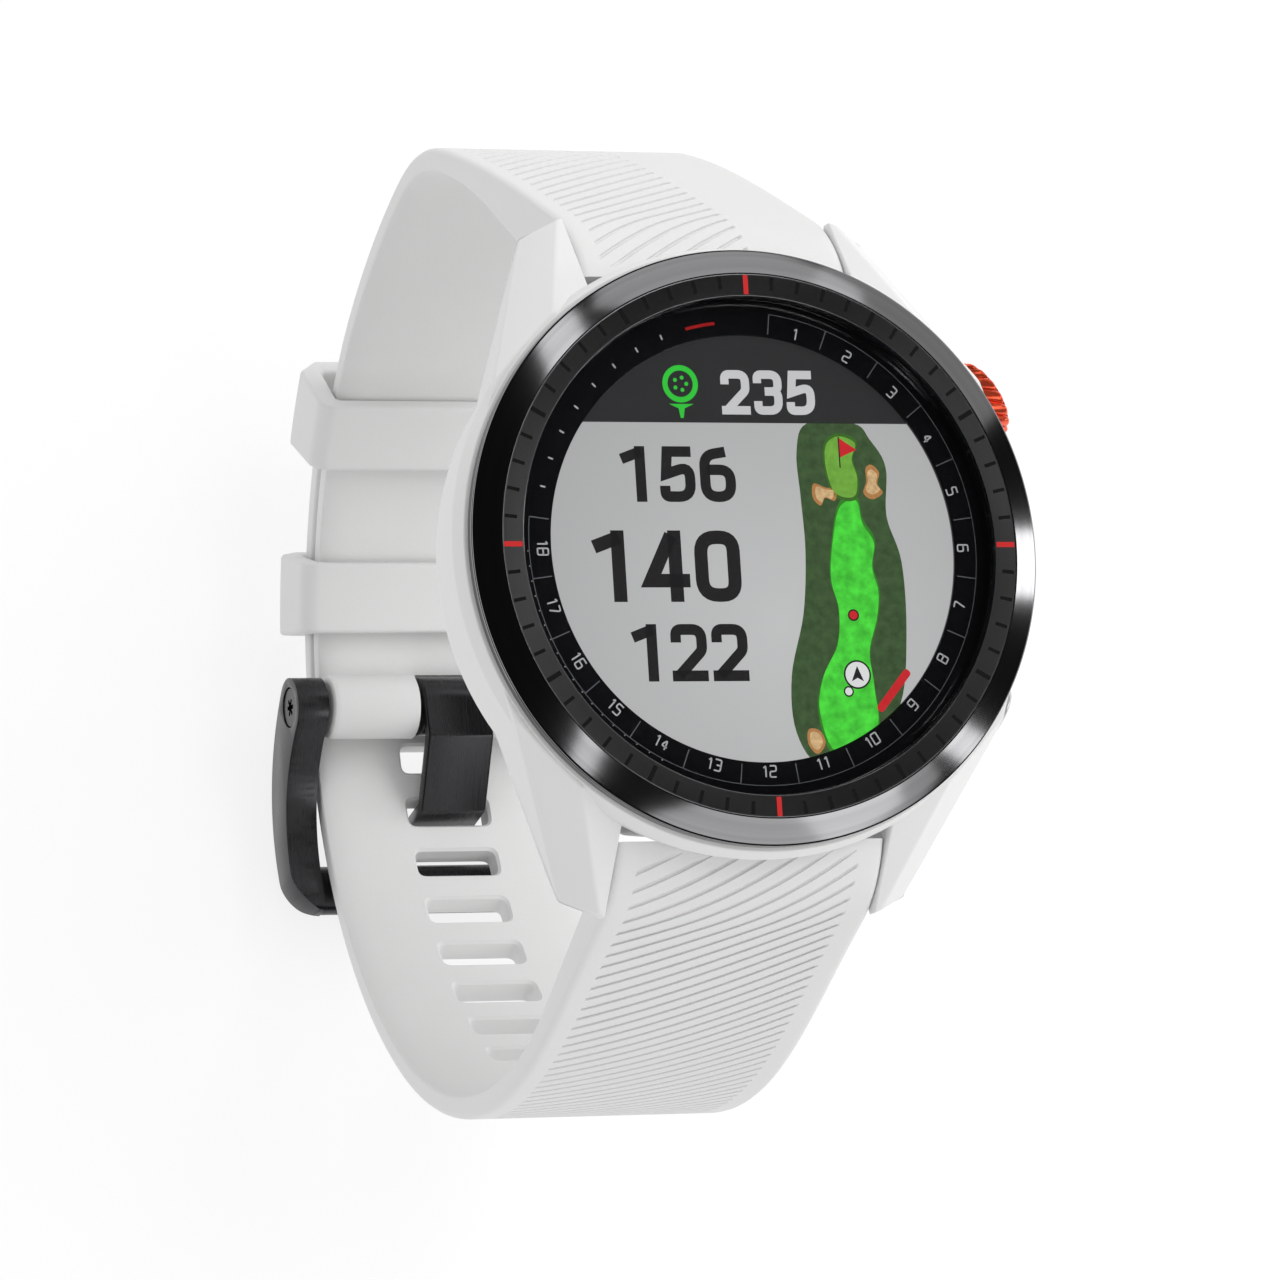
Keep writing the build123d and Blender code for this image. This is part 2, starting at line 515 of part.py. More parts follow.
def make_buckle_frame():
    side = buckle_arm()
    near, far = CROSSBAR_ANGLES
    cross = taper(on_loop(CROSSBAR_R, near), CROSSBAR_HALF_T, on_loop(CROSSBAR_R, far), CROSSBAR_HALF_T)
    frame = across(side, FRAME_IN, FRAME_OUT) + across(side, -FRAME_OUT, -FRAME_IN)
    frame += across(cross, -FRAME_OUT, FRAME_OUT)
    length = 3 * FRAME_OUT
    plan = Pos(0, length / 2 - FRAME_TAIL) * RectangleRounded(2 * FRAME_OUT, length, FRAME_CORNER_R)
    frame &= Pos(0, *on_loop(CROSSBAR_R, far)) * Rot(far / 2, 0, 0) * extrude(plan, 10, both=True)
    for side_x in (-FRAME_OUT, FRAME_OUT):
        inward = 1 if side_x < 0 else -1
        place = Pos(side_x, BAR_Y, BAR_Z) * Rot(0, 90 * inward, 0)
        frame -= place * along(BAR_R + RUN_CLEARANCE, -FIT, FRAME_OUT - FRAME_IN + FIT)
        frame -= place * along(SCREW_HEAD_R + SCREW_CLEARANCE, -FIT, SCREW_RECESS)
    return frame


def make_buckle_bar():
    half = FRAME_OUT - BAR_END
    return Pos(0, BAR_Y, BAR_Z) * Rot(0, 90, 0) * along(BAR_R, -half, half)


def make_bar_screws():
    heads = []
    for side in (-1, 1):
        place = Pos(side * FRAME_OUT, BAR_Y, BAR_Z) * Rot(0, -90 * side, 0)
        head = place * along(SCREW_HEAD_R, *SCREW_HEAD_Z)
        for turn in (0, 60, 120):
            head -= place * Rot(0, 0, turn) * Pos(0, 0, SCREW_HEAD_Z[0]) * Box(*SCREW_DRIVE)
        heads.append(head)
    return heads


def make_tongue():
    loop = Pos(BAR_Y, BAR_Z) * Circle(TONGUE_LOOP_R)
    for p, q in zip(TONGUE_PATH, TONGUE_PATH[1:]):
        loop += taper(p, TONGUE_HALF_T, q, TONGUE_HALF_T)
    tongue = across(loop, -TONGUE_HALF, TONGUE_HALF)
    return tongue - Pos(0, BAR_Y, BAR_Z) * Rot(0, 90, 0) * along(
        BAR_R + RUN_CLEARANCE, -FRAME_IN, FRAME_IN)


def make_lug_pin(side):
    return Pos(-LUG_PIN_HALF, side * LUG_PIN_Y, LUG_PIN_Z) * Rot(0, 90, 0) * along(
        LUG_PIN_R, 0, 2 * LUG_PIN_HALF)


write("case", make_case())
write("bezel", make_bezel())
write_display_stack()
write_chassis()
write_board()
write_modules()
write_case_back()
for button_name, button in BUTTONS.items():
    write_button(button_name, *button)
write("lug_pin_12", make_lug_pin(1))
write("lug_pin_6", make_lug_pin(-1))
write("strap_12", make_strap_twelve())
write("strap_6", make_strap_six())
for keeper_name, keeper_angle in KEEPER_ANGLES.items():
    write(keeper_name, make_keeper(keeper_angle))
write("buckle_frame", make_buckle_frame())
write("buckle_bar", make_buckle_bar())
write("buckle_bar_screws", Compound(make_bar_screws()))
write("buckle_tongue", make_tongue())
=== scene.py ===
import bpy
import bmesh
import json
import math
from mathutils import Matrix, Vector


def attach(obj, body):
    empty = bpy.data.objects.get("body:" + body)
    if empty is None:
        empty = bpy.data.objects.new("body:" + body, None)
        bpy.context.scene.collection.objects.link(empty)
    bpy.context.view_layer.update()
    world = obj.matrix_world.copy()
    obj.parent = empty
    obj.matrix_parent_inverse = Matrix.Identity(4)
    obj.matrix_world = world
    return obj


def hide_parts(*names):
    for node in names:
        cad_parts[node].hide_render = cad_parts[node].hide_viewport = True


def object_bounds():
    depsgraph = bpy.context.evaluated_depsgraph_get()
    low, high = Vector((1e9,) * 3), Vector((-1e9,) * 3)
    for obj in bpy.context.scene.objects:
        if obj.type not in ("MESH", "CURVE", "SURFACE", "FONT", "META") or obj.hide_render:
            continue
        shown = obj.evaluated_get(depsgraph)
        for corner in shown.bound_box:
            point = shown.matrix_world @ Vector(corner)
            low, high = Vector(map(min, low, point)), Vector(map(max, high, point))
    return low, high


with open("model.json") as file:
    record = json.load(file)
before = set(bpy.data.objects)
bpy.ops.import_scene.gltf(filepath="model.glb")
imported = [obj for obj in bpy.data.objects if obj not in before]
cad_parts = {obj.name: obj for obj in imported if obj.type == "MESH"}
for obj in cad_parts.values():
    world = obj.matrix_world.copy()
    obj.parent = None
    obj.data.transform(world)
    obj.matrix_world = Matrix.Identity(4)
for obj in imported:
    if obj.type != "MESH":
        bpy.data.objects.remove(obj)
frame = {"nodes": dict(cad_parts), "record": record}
cad_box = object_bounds()
MM = 0.001


# ---- the table it lies on, the lamps and the camera ----------------------------------------------
# A white lacquered table under a large tent of white cloth.  Small soft boxes outside the tent
# draw the light bands on the polished bezel, and one wide window lights the rest.
VIEW_FROM = Vector((-0.217673, -0.095576, 0.548344))
VIEW_BACK = Vector((-0.357776, -0.152318, 0.921301))
VIEW_UP = Vector((0.003067, 0.986410, 0.164273))
VIEW_LENS, SENSOR_WIDTH, NEAREST = 215.825, 36.0, 0.01
TABLE_SIZE, TABLE_GLOW, TABLE_GLOW_SHARE = 3.0, 1.02, 0.78
CLOTH_LIGHT, ROOM_LIGHT, PAPER_LIGHT = 0.59, 0.014, 1.0      # tent, what mirrors see, backdrop
WINDOW_FROM, WINDOW_LIGHT, WINDOW_SPREAD = (0.35, 0.35, 0.85), 1.0, 40
LAMP_DISTANCE = 0.7
SOFT_BOXES = {               # direction, width and height in metres, and how bright a mirror shows it
    "box_upper_left": ((-0.16, 0.67, 0.73), (0.10, 0.22), 0.62),
    "box_top": ((0.30, 0.78, 0.51), (0.50, 0.26), 0.27),
    "box_lower": ((0.36, -0.62, 0.73), (0.55, 0.26), 0.34),
    "box_lower_left": ((-0.21, -0.43, 0.88), (0.06, 0.16), 0.6),
    "strip_right": ((0.81, -0.30, 0.51), (0.06, 0.25), 0.8),
    "box_upper_right": ((0.72, 0.60, 0.38), (0.35, 0.30), 0.15),
    "box_side": ((0.97, 0.12, 0.22), (0.10, 0.30), 1.2),
    "box_lower_right": ((0.60, -0.48, 0.64), (0.26, 0.26), 0.26),
}


def link(name, data):
    obj = bpy.data.objects.new(name, data)
    bpy.context.scene.collection.objects.link(obj)
    return obj


def node(tree, kind, inputs=None, **values):
    """One shader node with its settings and unlinked inputs."""
    made = tree.nodes.new(kind)
    for key, value in values.items():
        setattr(made, key, value)
    for key, value in (inputs or {}).items():
        if isinstance(value, bpy.types.NodeSocket):
            tree.links.new(value, made.inputs[key])
        else:
            made.inputs[key].default_value = value
    return made


def new_material(name):
    """A material with an empty node tree."""
    material = bpy.data.materials.new(name)
    material.use_nodes = True
    material.node_tree.nodes.clear()
    return material, material.node_tree


def show(tree, socket):
    tree.links.new(socket, node(tree, "ShaderNodeOutputMaterial").inputs["Surface"])


def coords_of(tree):
    return node(tree, "ShaderNodeTexCoord").outputs["Object"]


def noise(tree, vector, scale, detail=2.0):
    inputs = {"Vector": vector, "Scale": scale, "Detail": detail}
    return node(tree, "ShaderNodeTexNoise", inputs).outputs["Fac"]


def spread_to(tree, value, low, high, start=0.0, end=1.0):
    """A value between start and end, spread to the range from low to high."""
    return node(tree, "ShaderNodeMapRange", {"Value": value, "From Min": start, "From Max": end,
                                             "To Min": low, "To Max": high}).outputs[0]


def maths(tree, operation, *values):
    return node(tree, "ShaderNodeMath", dict(enumerate(values)), operation=operation).outputs[0]


def mix_of(tree, share, first, second):
    """The first shader, with a share of the second."""
    return node(tree, "ShaderNodeMixShader", {"Fac": share, 1: first, 2: second}).outputs[0]


def table_material():
    material, tree = new_material("table_lacquer")
    tint = spread_to(tree, noise(tree, coords_of(tree), 6.0), 0.93, 0.97)
    paint = node(tree, "ShaderNodeBsdfDiffuse", {"Color": tint})
    glow = node(tree, "ShaderNodeEmission", {"Color": (1, 1, 1, 1), "Strength": TABLE_GLOW})
    show(tree, mix_of(tree, TABLE_GLOW_SHARE, paint.outputs[0], glow.outputs[0]))
    return material


def facing(direction):
    """The turn of a lamp that stands in this direction and faces the watch."""
    return Vector(direction).to_track_quat("Z", "Y").to_matrix().to_4x4()


half = TABLE_SIZE / 2
corners = [(-half, -half), (half, -half), (half, half), (-half, half)]
table_mesh = bpy.data.meshes.new("table")
table_mesh.from_pydata([(x, y, cad_box[0].z) for x, y in corners], [], [(0, 1, 2, 3)])
table_mesh.materials.append(table_material())
link("table", table_mesh)

camera_data = bpy.data.cameras.new("camera")
camera_data.sensor_width = SENSOR_WIDTH
camera_data.lens = VIEW_LENS
camera_data.clip_start = NEAREST
camera = link("camera", camera_data)
view_turn = Matrix((VIEW_UP.cross(VIEW_BACK), VIEW_UP, VIEW_BACK)).transposed().to_4x4()
camera.matrix_world = Matrix.Translation(VIEW_FROM) @ view_turn
bpy.context.scene.camera = camera
bpy.context.scene.view_settings.view_transform = "Standard"

world = bpy.data.worlds.new("tent")
bpy.context.scene.world = world
world.use_nodes = True
tent = world.node_tree
tent.nodes.clear()
ray = node(tent, "ShaderNodeLightPath").outputs
cloth, room, paper = (
    node(tent, "ShaderNodeBackground", {"Color": (1, 1, 1, 1), "Strength": light}).outputs[0]
    for light in (CLOTH_LIGHT, ROOM_LIGHT, PAPER_LIGHT))
mirrored_ray = maths(tent, "MAXIMUM", ray["Is Glossy Ray"], ray["Is Transmission Ray"])
seen = mix_of(tent, ray["Is Camera Ray"], mix_of(tent, mirrored_ray, cloth, room), paper)
tent.links.new(seen, node(tent, "ShaderNodeOutputWorld").inputs["Surface"])

for name, (direction, size, radiance) in SOFT_BOXES.items():
    lamp = bpy.data.lights.new(name, "AREA")
    lamp.shape = "RECTANGLE"
    lamp.size, lamp.size_y = size
    lamp.energy = radiance * 4 * math.pi * size[0] * size[1]
    away = Vector(direction).normalized() * LAMP_DISTANCE
    link(name, lamp).matrix_world = Matrix.Translation(away) @ facing(away)
window_lamp = bpy.data.lights.new("window", "SUN")
window_lamp.energy = WINDOW_LIGHT
window_lamp.angle = math.radians(WINDOW_SPREAD)
window = link("window", window_lamp)
window.visible_glossy = False
window.visible_transmission = False
window.matrix_world = facing(WINDOW_FROM)


# ---- case ----------------------------------------------------------------------------------------
# One injection-moulded shell of white glass-filled polymer with a very fine spark-eroded grain.
# The bezel is pressed on its top ledge, and its four faceted lugs hold the strap pins.
CAVITY_R, CASE_FOOT, CASE_TOP = 17.6, 0.9, 12.6
CASE_PROFILE = [(CAVITY_R, CASE_FOOT), (20.8, CASE_FOOT), (22.2, 3.0), (23.75, 11.1), (23.35, CASE_TOP),
                (CAVITY_R, CASE_TOP)]
CASE_ROUNDING = [0.05, 0.3, 0.5, 0.5, 0.16, 0.05]
ROUND_STEPS = 288                        # facets of the largest turned shapes
OUTSIDE = 30                             # well clear of the case
LUG_SPAN = ((11.1, 24.5), (9.0, 28.5), (3.0, 12.5))
LUG_FACETS = [
    ((0.622, 0.615, 0.483), 26.66),      # broad upper facet
    ((-0.068, 0.599, 0.799), 19.90),     # inner facet beside the strap
    ((0.935, 0.296, -0.194), 20.24),     # outer flank
    ((0.423, 0.906, 0.0), 29.42),        # tip
    ((0.0, 0.339, -0.941), 5.11),        # underside of the tip
]
LUG_EDGE = 0.16
BAY_HALF, BAY_Y, BAY_TOP = 11.1, 20.6, 9.6
BUTTON_Z, BUTTON_SEAT, BUTTON_GAP = 7.3, 22.1, 0.15
BUTTONS = {                              # angle from 3 o'clock, radius and reach of the cap
    "upper": (30.0, 3.3, 26.0), "middle": (0.0, 2.6, 24.2), "lower": (-30.0, 2.6, 24.9)}
CASE_WHITE = (0.82, 0.82, 0.815)


def rounded(points, radii, steps=4, closed=True):
    """The outline with each corner replaced by a short curve, radii in the outline's units."""
    made = []
    count = len(points)
    for i, corner in enumerate(points):
        p = Vector(corner)
        radius = radii[i] if isinstance(radii, (list, tuple)) else radii
        if radius <= 0 or (not closed and i in (0, count - 1)):
            made.append(p)
            continue
        to_last, to_next = Vector(points[i - 1]) - p, Vector(points[(i + 1) % count]) - p
        half_angle = to_last.angle(to_next) / 2
        reach = min(radius / math.tan(half_angle), 0.48 * to_last.length, 0.48 * to_next.length)
        a, b = p + to_last.normalized() * reach, p + to_next.normalized() * reach
        for k in range(steps + 1):
            t = k / steps
            made.append(a * (1 - t) ** 2 + p * (2 * t * (1 - t)) + b * t ** 2)
    return made


def band(bm, here, after):
    """A closed band of faces between two rings of points."""
    for i in range(len(here)):
        j = (i + 1) % len(here)
        bm.faces.new((here[i], here[j], after[j], after[i]))


def lathe(bm, outline, steps, place=Matrix.Identity(4)):
    """Turns a closed (radius, height) outline about Z, in millimetres."""
    rings = []
    for k in range(steps):
        turn = 2 * math.pi * k / steps
        c, s = math.cos(turn), math.sin(turn)
        rings.append([bm.verts.new(place @ Vector((p[0] * c, p[0] * s, p[1]))) for p in outline])
    for here, after in zip(rings, rings[1:] + rings[:1]):
        band(bm, here, after)
    bmesh.ops.remove_doubles(bm, verts=bm.verts, dist=1e-5)
    return bm


def prism(bm, outline, low, high, place=Matrix.Identity(4)):
    """Extrudes a closed plane outline between two heights, in millimetres."""
    bottom, top = ([bm.verts.new(place @ Vector((p[0], p[1], z))) for p in outline] for z in (low, high))
    band(bm, bottom, top)
    bm.faces.new(bottom[::-1])
    bm.faces.new(top)
    return bm


def circle(radius, steps, centre=(0, 0)):
    angles = [2 * math.pi * k / steps for k in range(steps)]
    return [(centre[0] + radius * math.cos(a), centre[1] + radius * math.sin(a)) for a in angles]


def rectangle(left, right, low, high):
    return [(left, low), (right, low), (right, high), (left, high)]


def to_object(name, bm):
    """Closes the bench work: outward normals, metres, one new object."""
    bmesh.ops.recalc_face_normals(bm, faces=bm.faces)
    mesh = bpy.data.meshes.new(name)
    bm.to_mesh(mesh)
    bm.free()
    mesh.transform(Matrix.Scale(MM, 4))
    return link(name, mesh)


def settle(obj):
    """Replaces an object's mesh by what its modifiers make of it."""
    graph = bpy.context.evaluated_depsgraph_get()
    mesh = bpy.data.meshes.new_from_object(obj.evaluated_get(graph))
    obj.modifiers.clear()
    obj.data = mesh
    return obj


def combine(obj, other, operation):
    """Adds or cuts away another closed object, which is used up."""
    boolean = obj.modifiers.new("work", "BOOLEAN")
    boolean.operation = operation
    boolean.solver = "EXACT"
    boolean.object = other
    settle(obj)
    bpy.data.objects.remove(other)
    return obj


def soften_edges(obj, width, angle):
    """Breaks the edges that are sharper than an angle by a small radius."""
    bevel = obj.modifiers.new("edge", "BEVEL")
    bevel.width = width * MM
    bevel.segments = 3
    bevel.limit_method = "ANGLE"
    bevel.angle_limit = math.radians(angle)
    bevel.use_clamp_overlap = True
    return settle(obj)


def fit(obj, body, slot, material, *stands_for, smooth=30):
    """The finished piece: its material, its shading, the body it rides on and what it replaces."""
    obj.data.materials.clear()
    obj.data.materials.append(material)
    for face in obj.data.polygons:
        face.material_index = 0
    obj.data.shade_smooth()
    obj.data.set_sharp_from_angle(angle=math.radians(smooth))
    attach(obj, body)
    if stands_for:
        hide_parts(*stands_for)
    return obj


def new_group(name, inputs, outputs):
    """A shader node group with named value inputs and outputs."""
    group = bpy.data.node_groups.new(name, "ShaderNodeTree")
    for label, default in inputs.items():
        kind = "NodeSocketVector" if label == "Vector" else "NodeSocketFloat"
        socket = group.interface.new_socket(label, in_out="INPUT", socket_type=kind)
        if label != "Vector":
            socket.default_value = default
    for label in outputs:
        group.interface.new_socket(label, in_out="OUTPUT", socket_type="NodeSocketFloat")
    return group, node(group, "NodeGroupInput"), node(group, "NodeGroupOutput")


def grain_group():
    """Fine moulded grain: a height for bump and a slow tint."""
    group, given, result = new_group("moulded_grain", {"Vector": 0, "Size mm": 0.2, "Blotch mm": 9.0},
                                     ["Height", "Tint"])
    fine, slow = (maths(group, "DIVIDE", 1000.0, given.outputs[label]) for label in ("Size mm", "Blotch mm"))
    grain = node(group, "ShaderNodeTexNoise", {"Vector": given.outputs["Vector"], "Scale": fine,
                                               "Detail": 3.0, "Roughness": 0.6})
    group.links.new(grain.outputs["Fac"], result.inputs["Height"])
    group.links.new(noise(group, given.outputs["Vector"], slow), result.inputs["Tint"])
    return group


GRAIN = grain_group()


def colours(tree, share, first, second):
    """The first colour, with a share of the second."""
    return node(tree, "ShaderNodeMix", {"Factor": share, "A": (*first, 1), "B": (*second, 1)},
                data_type="RGBA").outputs[2]


def uneven(tree, height, depth_mm):
    """A bump as deep as this many millimetres."""
    return node(tree, "ShaderNodeBump", {"Height": height, "Distance": depth_mm * MM}).outputs[0]


def show_surface(tree, inputs):
    show(tree, node(tree, "ShaderNodeBsdfPrincipled", inputs).outputs[0])


def moulded(name, colour, roughness, grain_mm, depth_mm):
    """Moulded plastic or rubber with its grain and a slight unevenness of colour and gloss."""
    material, tree = new_material(name)
    grain = node(tree, "ShaderNodeGroup", {"Vector": coords_of(tree), "Size mm": grain_mm}, node_tree=GRAIN)
    cloud = grain.outputs["Tint"]
    show_surface(tree, {
        "Base Color": colours(tree, cloud, [c * 0.965 for c in colour], colour),
        "Roughness": spread_to(tree, cloud, roughness - 0.04, roughness + 0.06),
        "Normal": uneven(tree, grain.outputs["Height"], depth_mm), "Specular IOR Level": 0.4})
    return material


def lug():
    """The facets cut from a block, with their edges just broken."""
    bm = bmesh.new()
    x_span, y_span, z_span = LUG_SPAN
    prism(bm, rectangle(*x_span, *y_span), *z_span)
    for normal, distance in LUG_FACETS:
        n = Vector(normal).normalized()
        everything = bm.verts[:] + bm.edges[:] + bm.faces[:]
        bmesh.ops.bisect_plane(bm, geom=everything, plane_co=n * distance, plane_no=n, clear_outer=True)
        bmesh.ops.holes_fill(bm, edges=[e for e in bm.edges if e.is_boundary])
    bmesh.ops.dissolve_limit(bm, angle_limit=0.01, verts=bm.verts, edges=bm.edges)
    bmesh.ops.bevel(bm, geom=bm.edges[:], offset=LUG_EDGE, segments=3, profile=0.5, affect="EDGES")
    return bm


def mirrored(bm, sx, sy):
    """A copy of the bench work, mirrored left to right or end to end."""
    copy = bm.copy()
    for vert in copy.verts:
        vert.co.x *= sx
        vert.co.y *= sy
    return copy


def joined(parts):
    """Several bench works in one."""
    whole = bmesh.new()
    for part in parts:
        carrier = bpy.data.meshes.new("carrier")
        bmesh.ops.recalc_face_normals(part, faces=part.faces)
        part.to_mesh(carrier)
        part.free()
        whole.from_mesh(carrier)
        bpy.data.meshes.remove(carrier)
    return whole


def button_place(degrees):
    """Frame whose +Z runs outwards along a button's axis."""
    return (Matrix.Translation((0, 0, BUTTON_Z)) @ Matrix.Rotation(math.radians(degrees), 4, "Z")
            @ Matrix.Rotation(math.radians(90), 4, "Y"))


def case_shell():
    shell = to_object("case_shell", lathe(bmesh.new(), rounded(CASE_PROFILE, CASE_ROUNDING), ROUND_STEPS))
    cutters = bmesh.new()
    for side in (1, -1):
        prism(cutters, rectangle(-BAY_HALF, BAY_HALF, side * BAY_Y, side * OUTSIDE), -2, BAY_TOP)
    for degrees, cap_r, _ in BUTTONS.values():
        prism(cutters, circle(cap_r + BUTTON_GAP, 96), BUTTON_SEAT, OUTSIDE, button_place(degrees))
    combine(shell, to_object("cutters", cutters), "DIFFERENCE")
    one = lug()
    corners = [mirrored(one, sx, sy) for sx in (1, -1) for sy in (1, -1)]
    one.free()
    combine(shell, to_object("lugs", joined(corners)), "UNION")
    cavity = prism(bmesh.new(), circle(CAVITY_R, ROUND_STEPS), CASE_FOOT - 1.9, CASE_TOP + 1)
    return combine(shell, to_object("cavity", cavity), "DIFFERENCE")


case_polymer = moulded("case_polymer", CASE_WHITE, 0.52, 0.16, 0.010)
fit(case_shell(), "root", "case_polymer", case_polymer, "case", smooth=24)


# ---- bezel and its ticks -------------------------------------------------------------------------
# Turned stainless steel with a dark vapour coating: a polished cone, and a flat ring brushed round
# the dial.  Sixty engraved ticks are filled with black paint, the four quarter ticks with red.
BEZEL_PROFILE = [
    (19.27, 12.62), (23.03, 12.62), (23.03, 13.42), (22.90, 13.50), (22.90, 13.62), (23.08, 13.70),
    (23.08, 13.84), (22.95, 13.94), (21.10, 14.80), (21.00, 14.80), (20.94, 14.77), (19.27, 14.77)]
BEZEL_ROUNDING = [0.02, 0.05, 0.05, 0.02, 0.02, 0.03, 0.06, 0.05, 0.03, 0.02, 0.02, 0.10]
RING_TOP, RING_SKIN = 14.77, 0.02         # the brushed ring, and how far down its finish goes
CONE_INNER_R = 20.98
TICK_DEPTH, TICK_PROUD = 0.10, 0.008
TICKS = {"plain": (19.86, 20.84, 0.27), "bold": (19.62, 20.90, 0.36), "red": (19.42, 20.92, 0.40)}


def pattern_tree(name, inputs):
    """An empty Geometry Nodes tree with named inputs, and the sockets that they arrive at."""
    tree = bpy.data.node_groups.new(name, "GeometryNodeTree")
    for label, kind in (("Geometry", "Geometry"), *inputs.items(), ("Material", "Material")):
        tree.interface.new_socket(label, in_out="INPUT", socket_type="NodeSocket" + kind)
    tree.interface.new_socket("Geometry", in_out="OUTPUT", socket_type="NodeSocketGeometry")
    return tree, node(tree, "NodeGroupInput").outputs


def end_pattern(tree, given, copies):
    """Makes the copies real and gives them their material."""
    real = node(tree, "GeometryNodeRealizeInstances", {"Geometry": copies.outputs[0]})
    painted = node(tree, "GeometryNodeSetMaterial", {
        "Geometry": real.outputs[0], "Material": given["Material"]})
    tree.links.new(painted.outputs[0], node(tree, "NodeGroupOutput").inputs["Geometry"])
    return tree


def place_at(tree, **parts):
    return node(tree, "ShaderNodeCombineXYZ", parts).outputs[0]


def tick_tree():
    """Geometry Nodes: tick bars round the dial, with every so-many-th left out."""
    tree, g = pattern_tree("tick_round", {
        "Count": "Int", "Skip every": "Int", "Skip from": "Int", "Inner radius": "Float",
        "Outer radius": "Float", "Width": "Float", "Depth": "Float", "Top": "Float"})
    length = maths(tree, "SUBTRACT", g["Outer radius"], g["Inner radius"])
    middle = maths(tree, "MULTIPLY", maths(tree, "ADD", g["Outer radius"], g["Inner radius"]), 0.5)
    height = maths(tree, "SUBTRACT", g["Top"], maths(tree, "MULTIPLY", g["Depth"], 0.5))
    bar = node(tree, "GeometryNodeMeshCube", {"Size": place_at(tree, X=length, Y=g["Width"], Z=g["Depth"])})
    moved = node(tree, "GeometryNodeTransform", {
        "Geometry": bar.outputs["Mesh"], "Translation": place_at(tree, X=middle, Z=height)})
    points = node(tree, "GeometryNodePoints", {"Count": g["Count"]})
    index = node(tree, "GeometryNodeInputIndex").outputs[0]
    turn = maths(tree, "MULTIPLY", maths(tree, "DIVIDE", index, g["Count"]), 2 * math.pi)
    left_over = maths(tree, "MODULO", maths(tree, "ADD", index, g["Skip from"]), g["Skip every"])
    copies = node(tree, "GeometryNodeInstanceOnPoints", {
        "Points": points.outputs[0], "Selection": maths(tree, "GREATER_THAN", left_over, 0.5),
        "Instance": moved.outputs[0], "Rotation": place_at(tree, Z=turn)})
    return end_pattern(tree, g, copies)


def grow(name, tree, values):
    """Runs a Geometry Nodes tree on an empty mesh and keeps the plain result."""
    obj = link(name, bpy.data.meshes.new(name))
    modifier = obj.modifiers.new("grow", "NODES")
    modifier.node_group = tree
    for item in tree.interface.items_tree:
        if item.in_out == "INPUT" and item.name in values:
            modifier[item.identifier] = values[item.name]
    obj.update_tag()
    return settle(obj)


def axis_distance(tree):
    """Distance from the dial's axis, in metres."""
    flat = node(tree, "ShaderNodeVectorMath", {0: coords_of(tree), 1: (1, 1, 0)}, operation="MULTIPLY")
    return node(tree, "ShaderNodeVectorMath", {0: flat.outputs[0]}, operation="LENGTH").outputs["Value"]


def shaded(tree, colour, gain):
    """One colour made darker or lighter by a value near 1."""
    return node(tree, "ShaderNodeVectorMath", {0: colour, "Scale": gain}, operation="SCALE").outputs[0]


def turned_steel(name, colour, roughness, brush_mm, depth_mm, streak=0.0):
    """Steel brushed or polished on a lathe: hair lines round the dial's axis."""
    material, tree = new_material(name)
    lines = node(tree, "ShaderNodeTexNoise", {"W": axis_distance(tree), "Scale": 1000 / brush_mm},
                 noise_dimensions="1D").outputs["Fac"]
    smear = noise(tree, coords_of(tree), 90.0)
    around = node(tree, "ShaderNodeTangent", direction_type="RADIAL", axis="Z")
    show_surface(tree, {
        "Base Color": shaded(tree, colour, spread_to(tree, lines, 0.85, 1.12)), "Metallic": 1.0,
        "Roughness": spread_to(tree, smear, roughness * 0.9, roughness * 1.15),
        "Normal": uneven(tree, lines, depth_mm), "Anisotropic": streak, "Tangent": around.outputs[0]})
    return material


def enamel(name, colour, roughness, speck=0.06, film_mm=0.002):
    """Paint or print, with a little unevenness in its film."""
    material, tree = new_material(name)
    film = noise(tree, coords_of(tree), 2500.0)
    low, high = ([min(1, c * gain) for c in colour] for gain in (1 - speck, 1 + speck))
    show_surface(tree, {"Base Color": colours(tree, film, low, high), "Roughness": roughness,
                        "Normal": uneven(tree, film, film_mm)})
    return material


bezel_steel = turned_steel("bezel_steel", (0.235, 0.235, 0.24), 0.11, 0.5, 0.0003)
brushed_ring = turned_steel("brushed_ring", (0.29, 0.29, 0.295), 0.36, 0.05, 0.002, streak=0.7)
bezel = to_object("bezel_ring", lathe(bmesh.new(), rounded(BEZEL_PROFILE, BEZEL_ROUNDING, 3), 480))
fit(bezel, "root", "bezel_steel", bezel_steel, "bezel", smooth=35)
bezel.data.materials.append(brushed_ring)
for face in bezel.data.polygons:
    centre = face.center
    if centre.z > (RING_TOP - RING_SKIN) * MM and centre.xy.length < CONE_INNER_R * MM:
        face.material_index = 1

tick_black = enamel("tick_black", (0.003, 0.003, 0.003), 0.8)
tick_red = enamel("tick_red", (0.55, 0.012, 0.012), 0.4)
TICK_SETS = {"plain": (60, 5, 0, tick_black), "bold": (12, 3, 0, tick_black), "red": (4, 5, 1, tick_red)}
ticks_round = tick_tree()
for kind, (count, skip, start, paint) in TICK_SETS.items():
    inner, outer, width = TICKS[kind]
    ticks = grow("ticks_" + kind, ticks_round, {
        "Count": count, "Skip every": skip, "Skip from": start, "Inner radius": inner * MM,
        "Outer radius": outer * MM, "Width": width * MM, "Depth": TICK_DEPTH * MM,
        "Top": (RING_TOP + TICK_PROUD) * MM, "Material": paint})
    fit(ticks, "root", "dial_ring_print", paint)


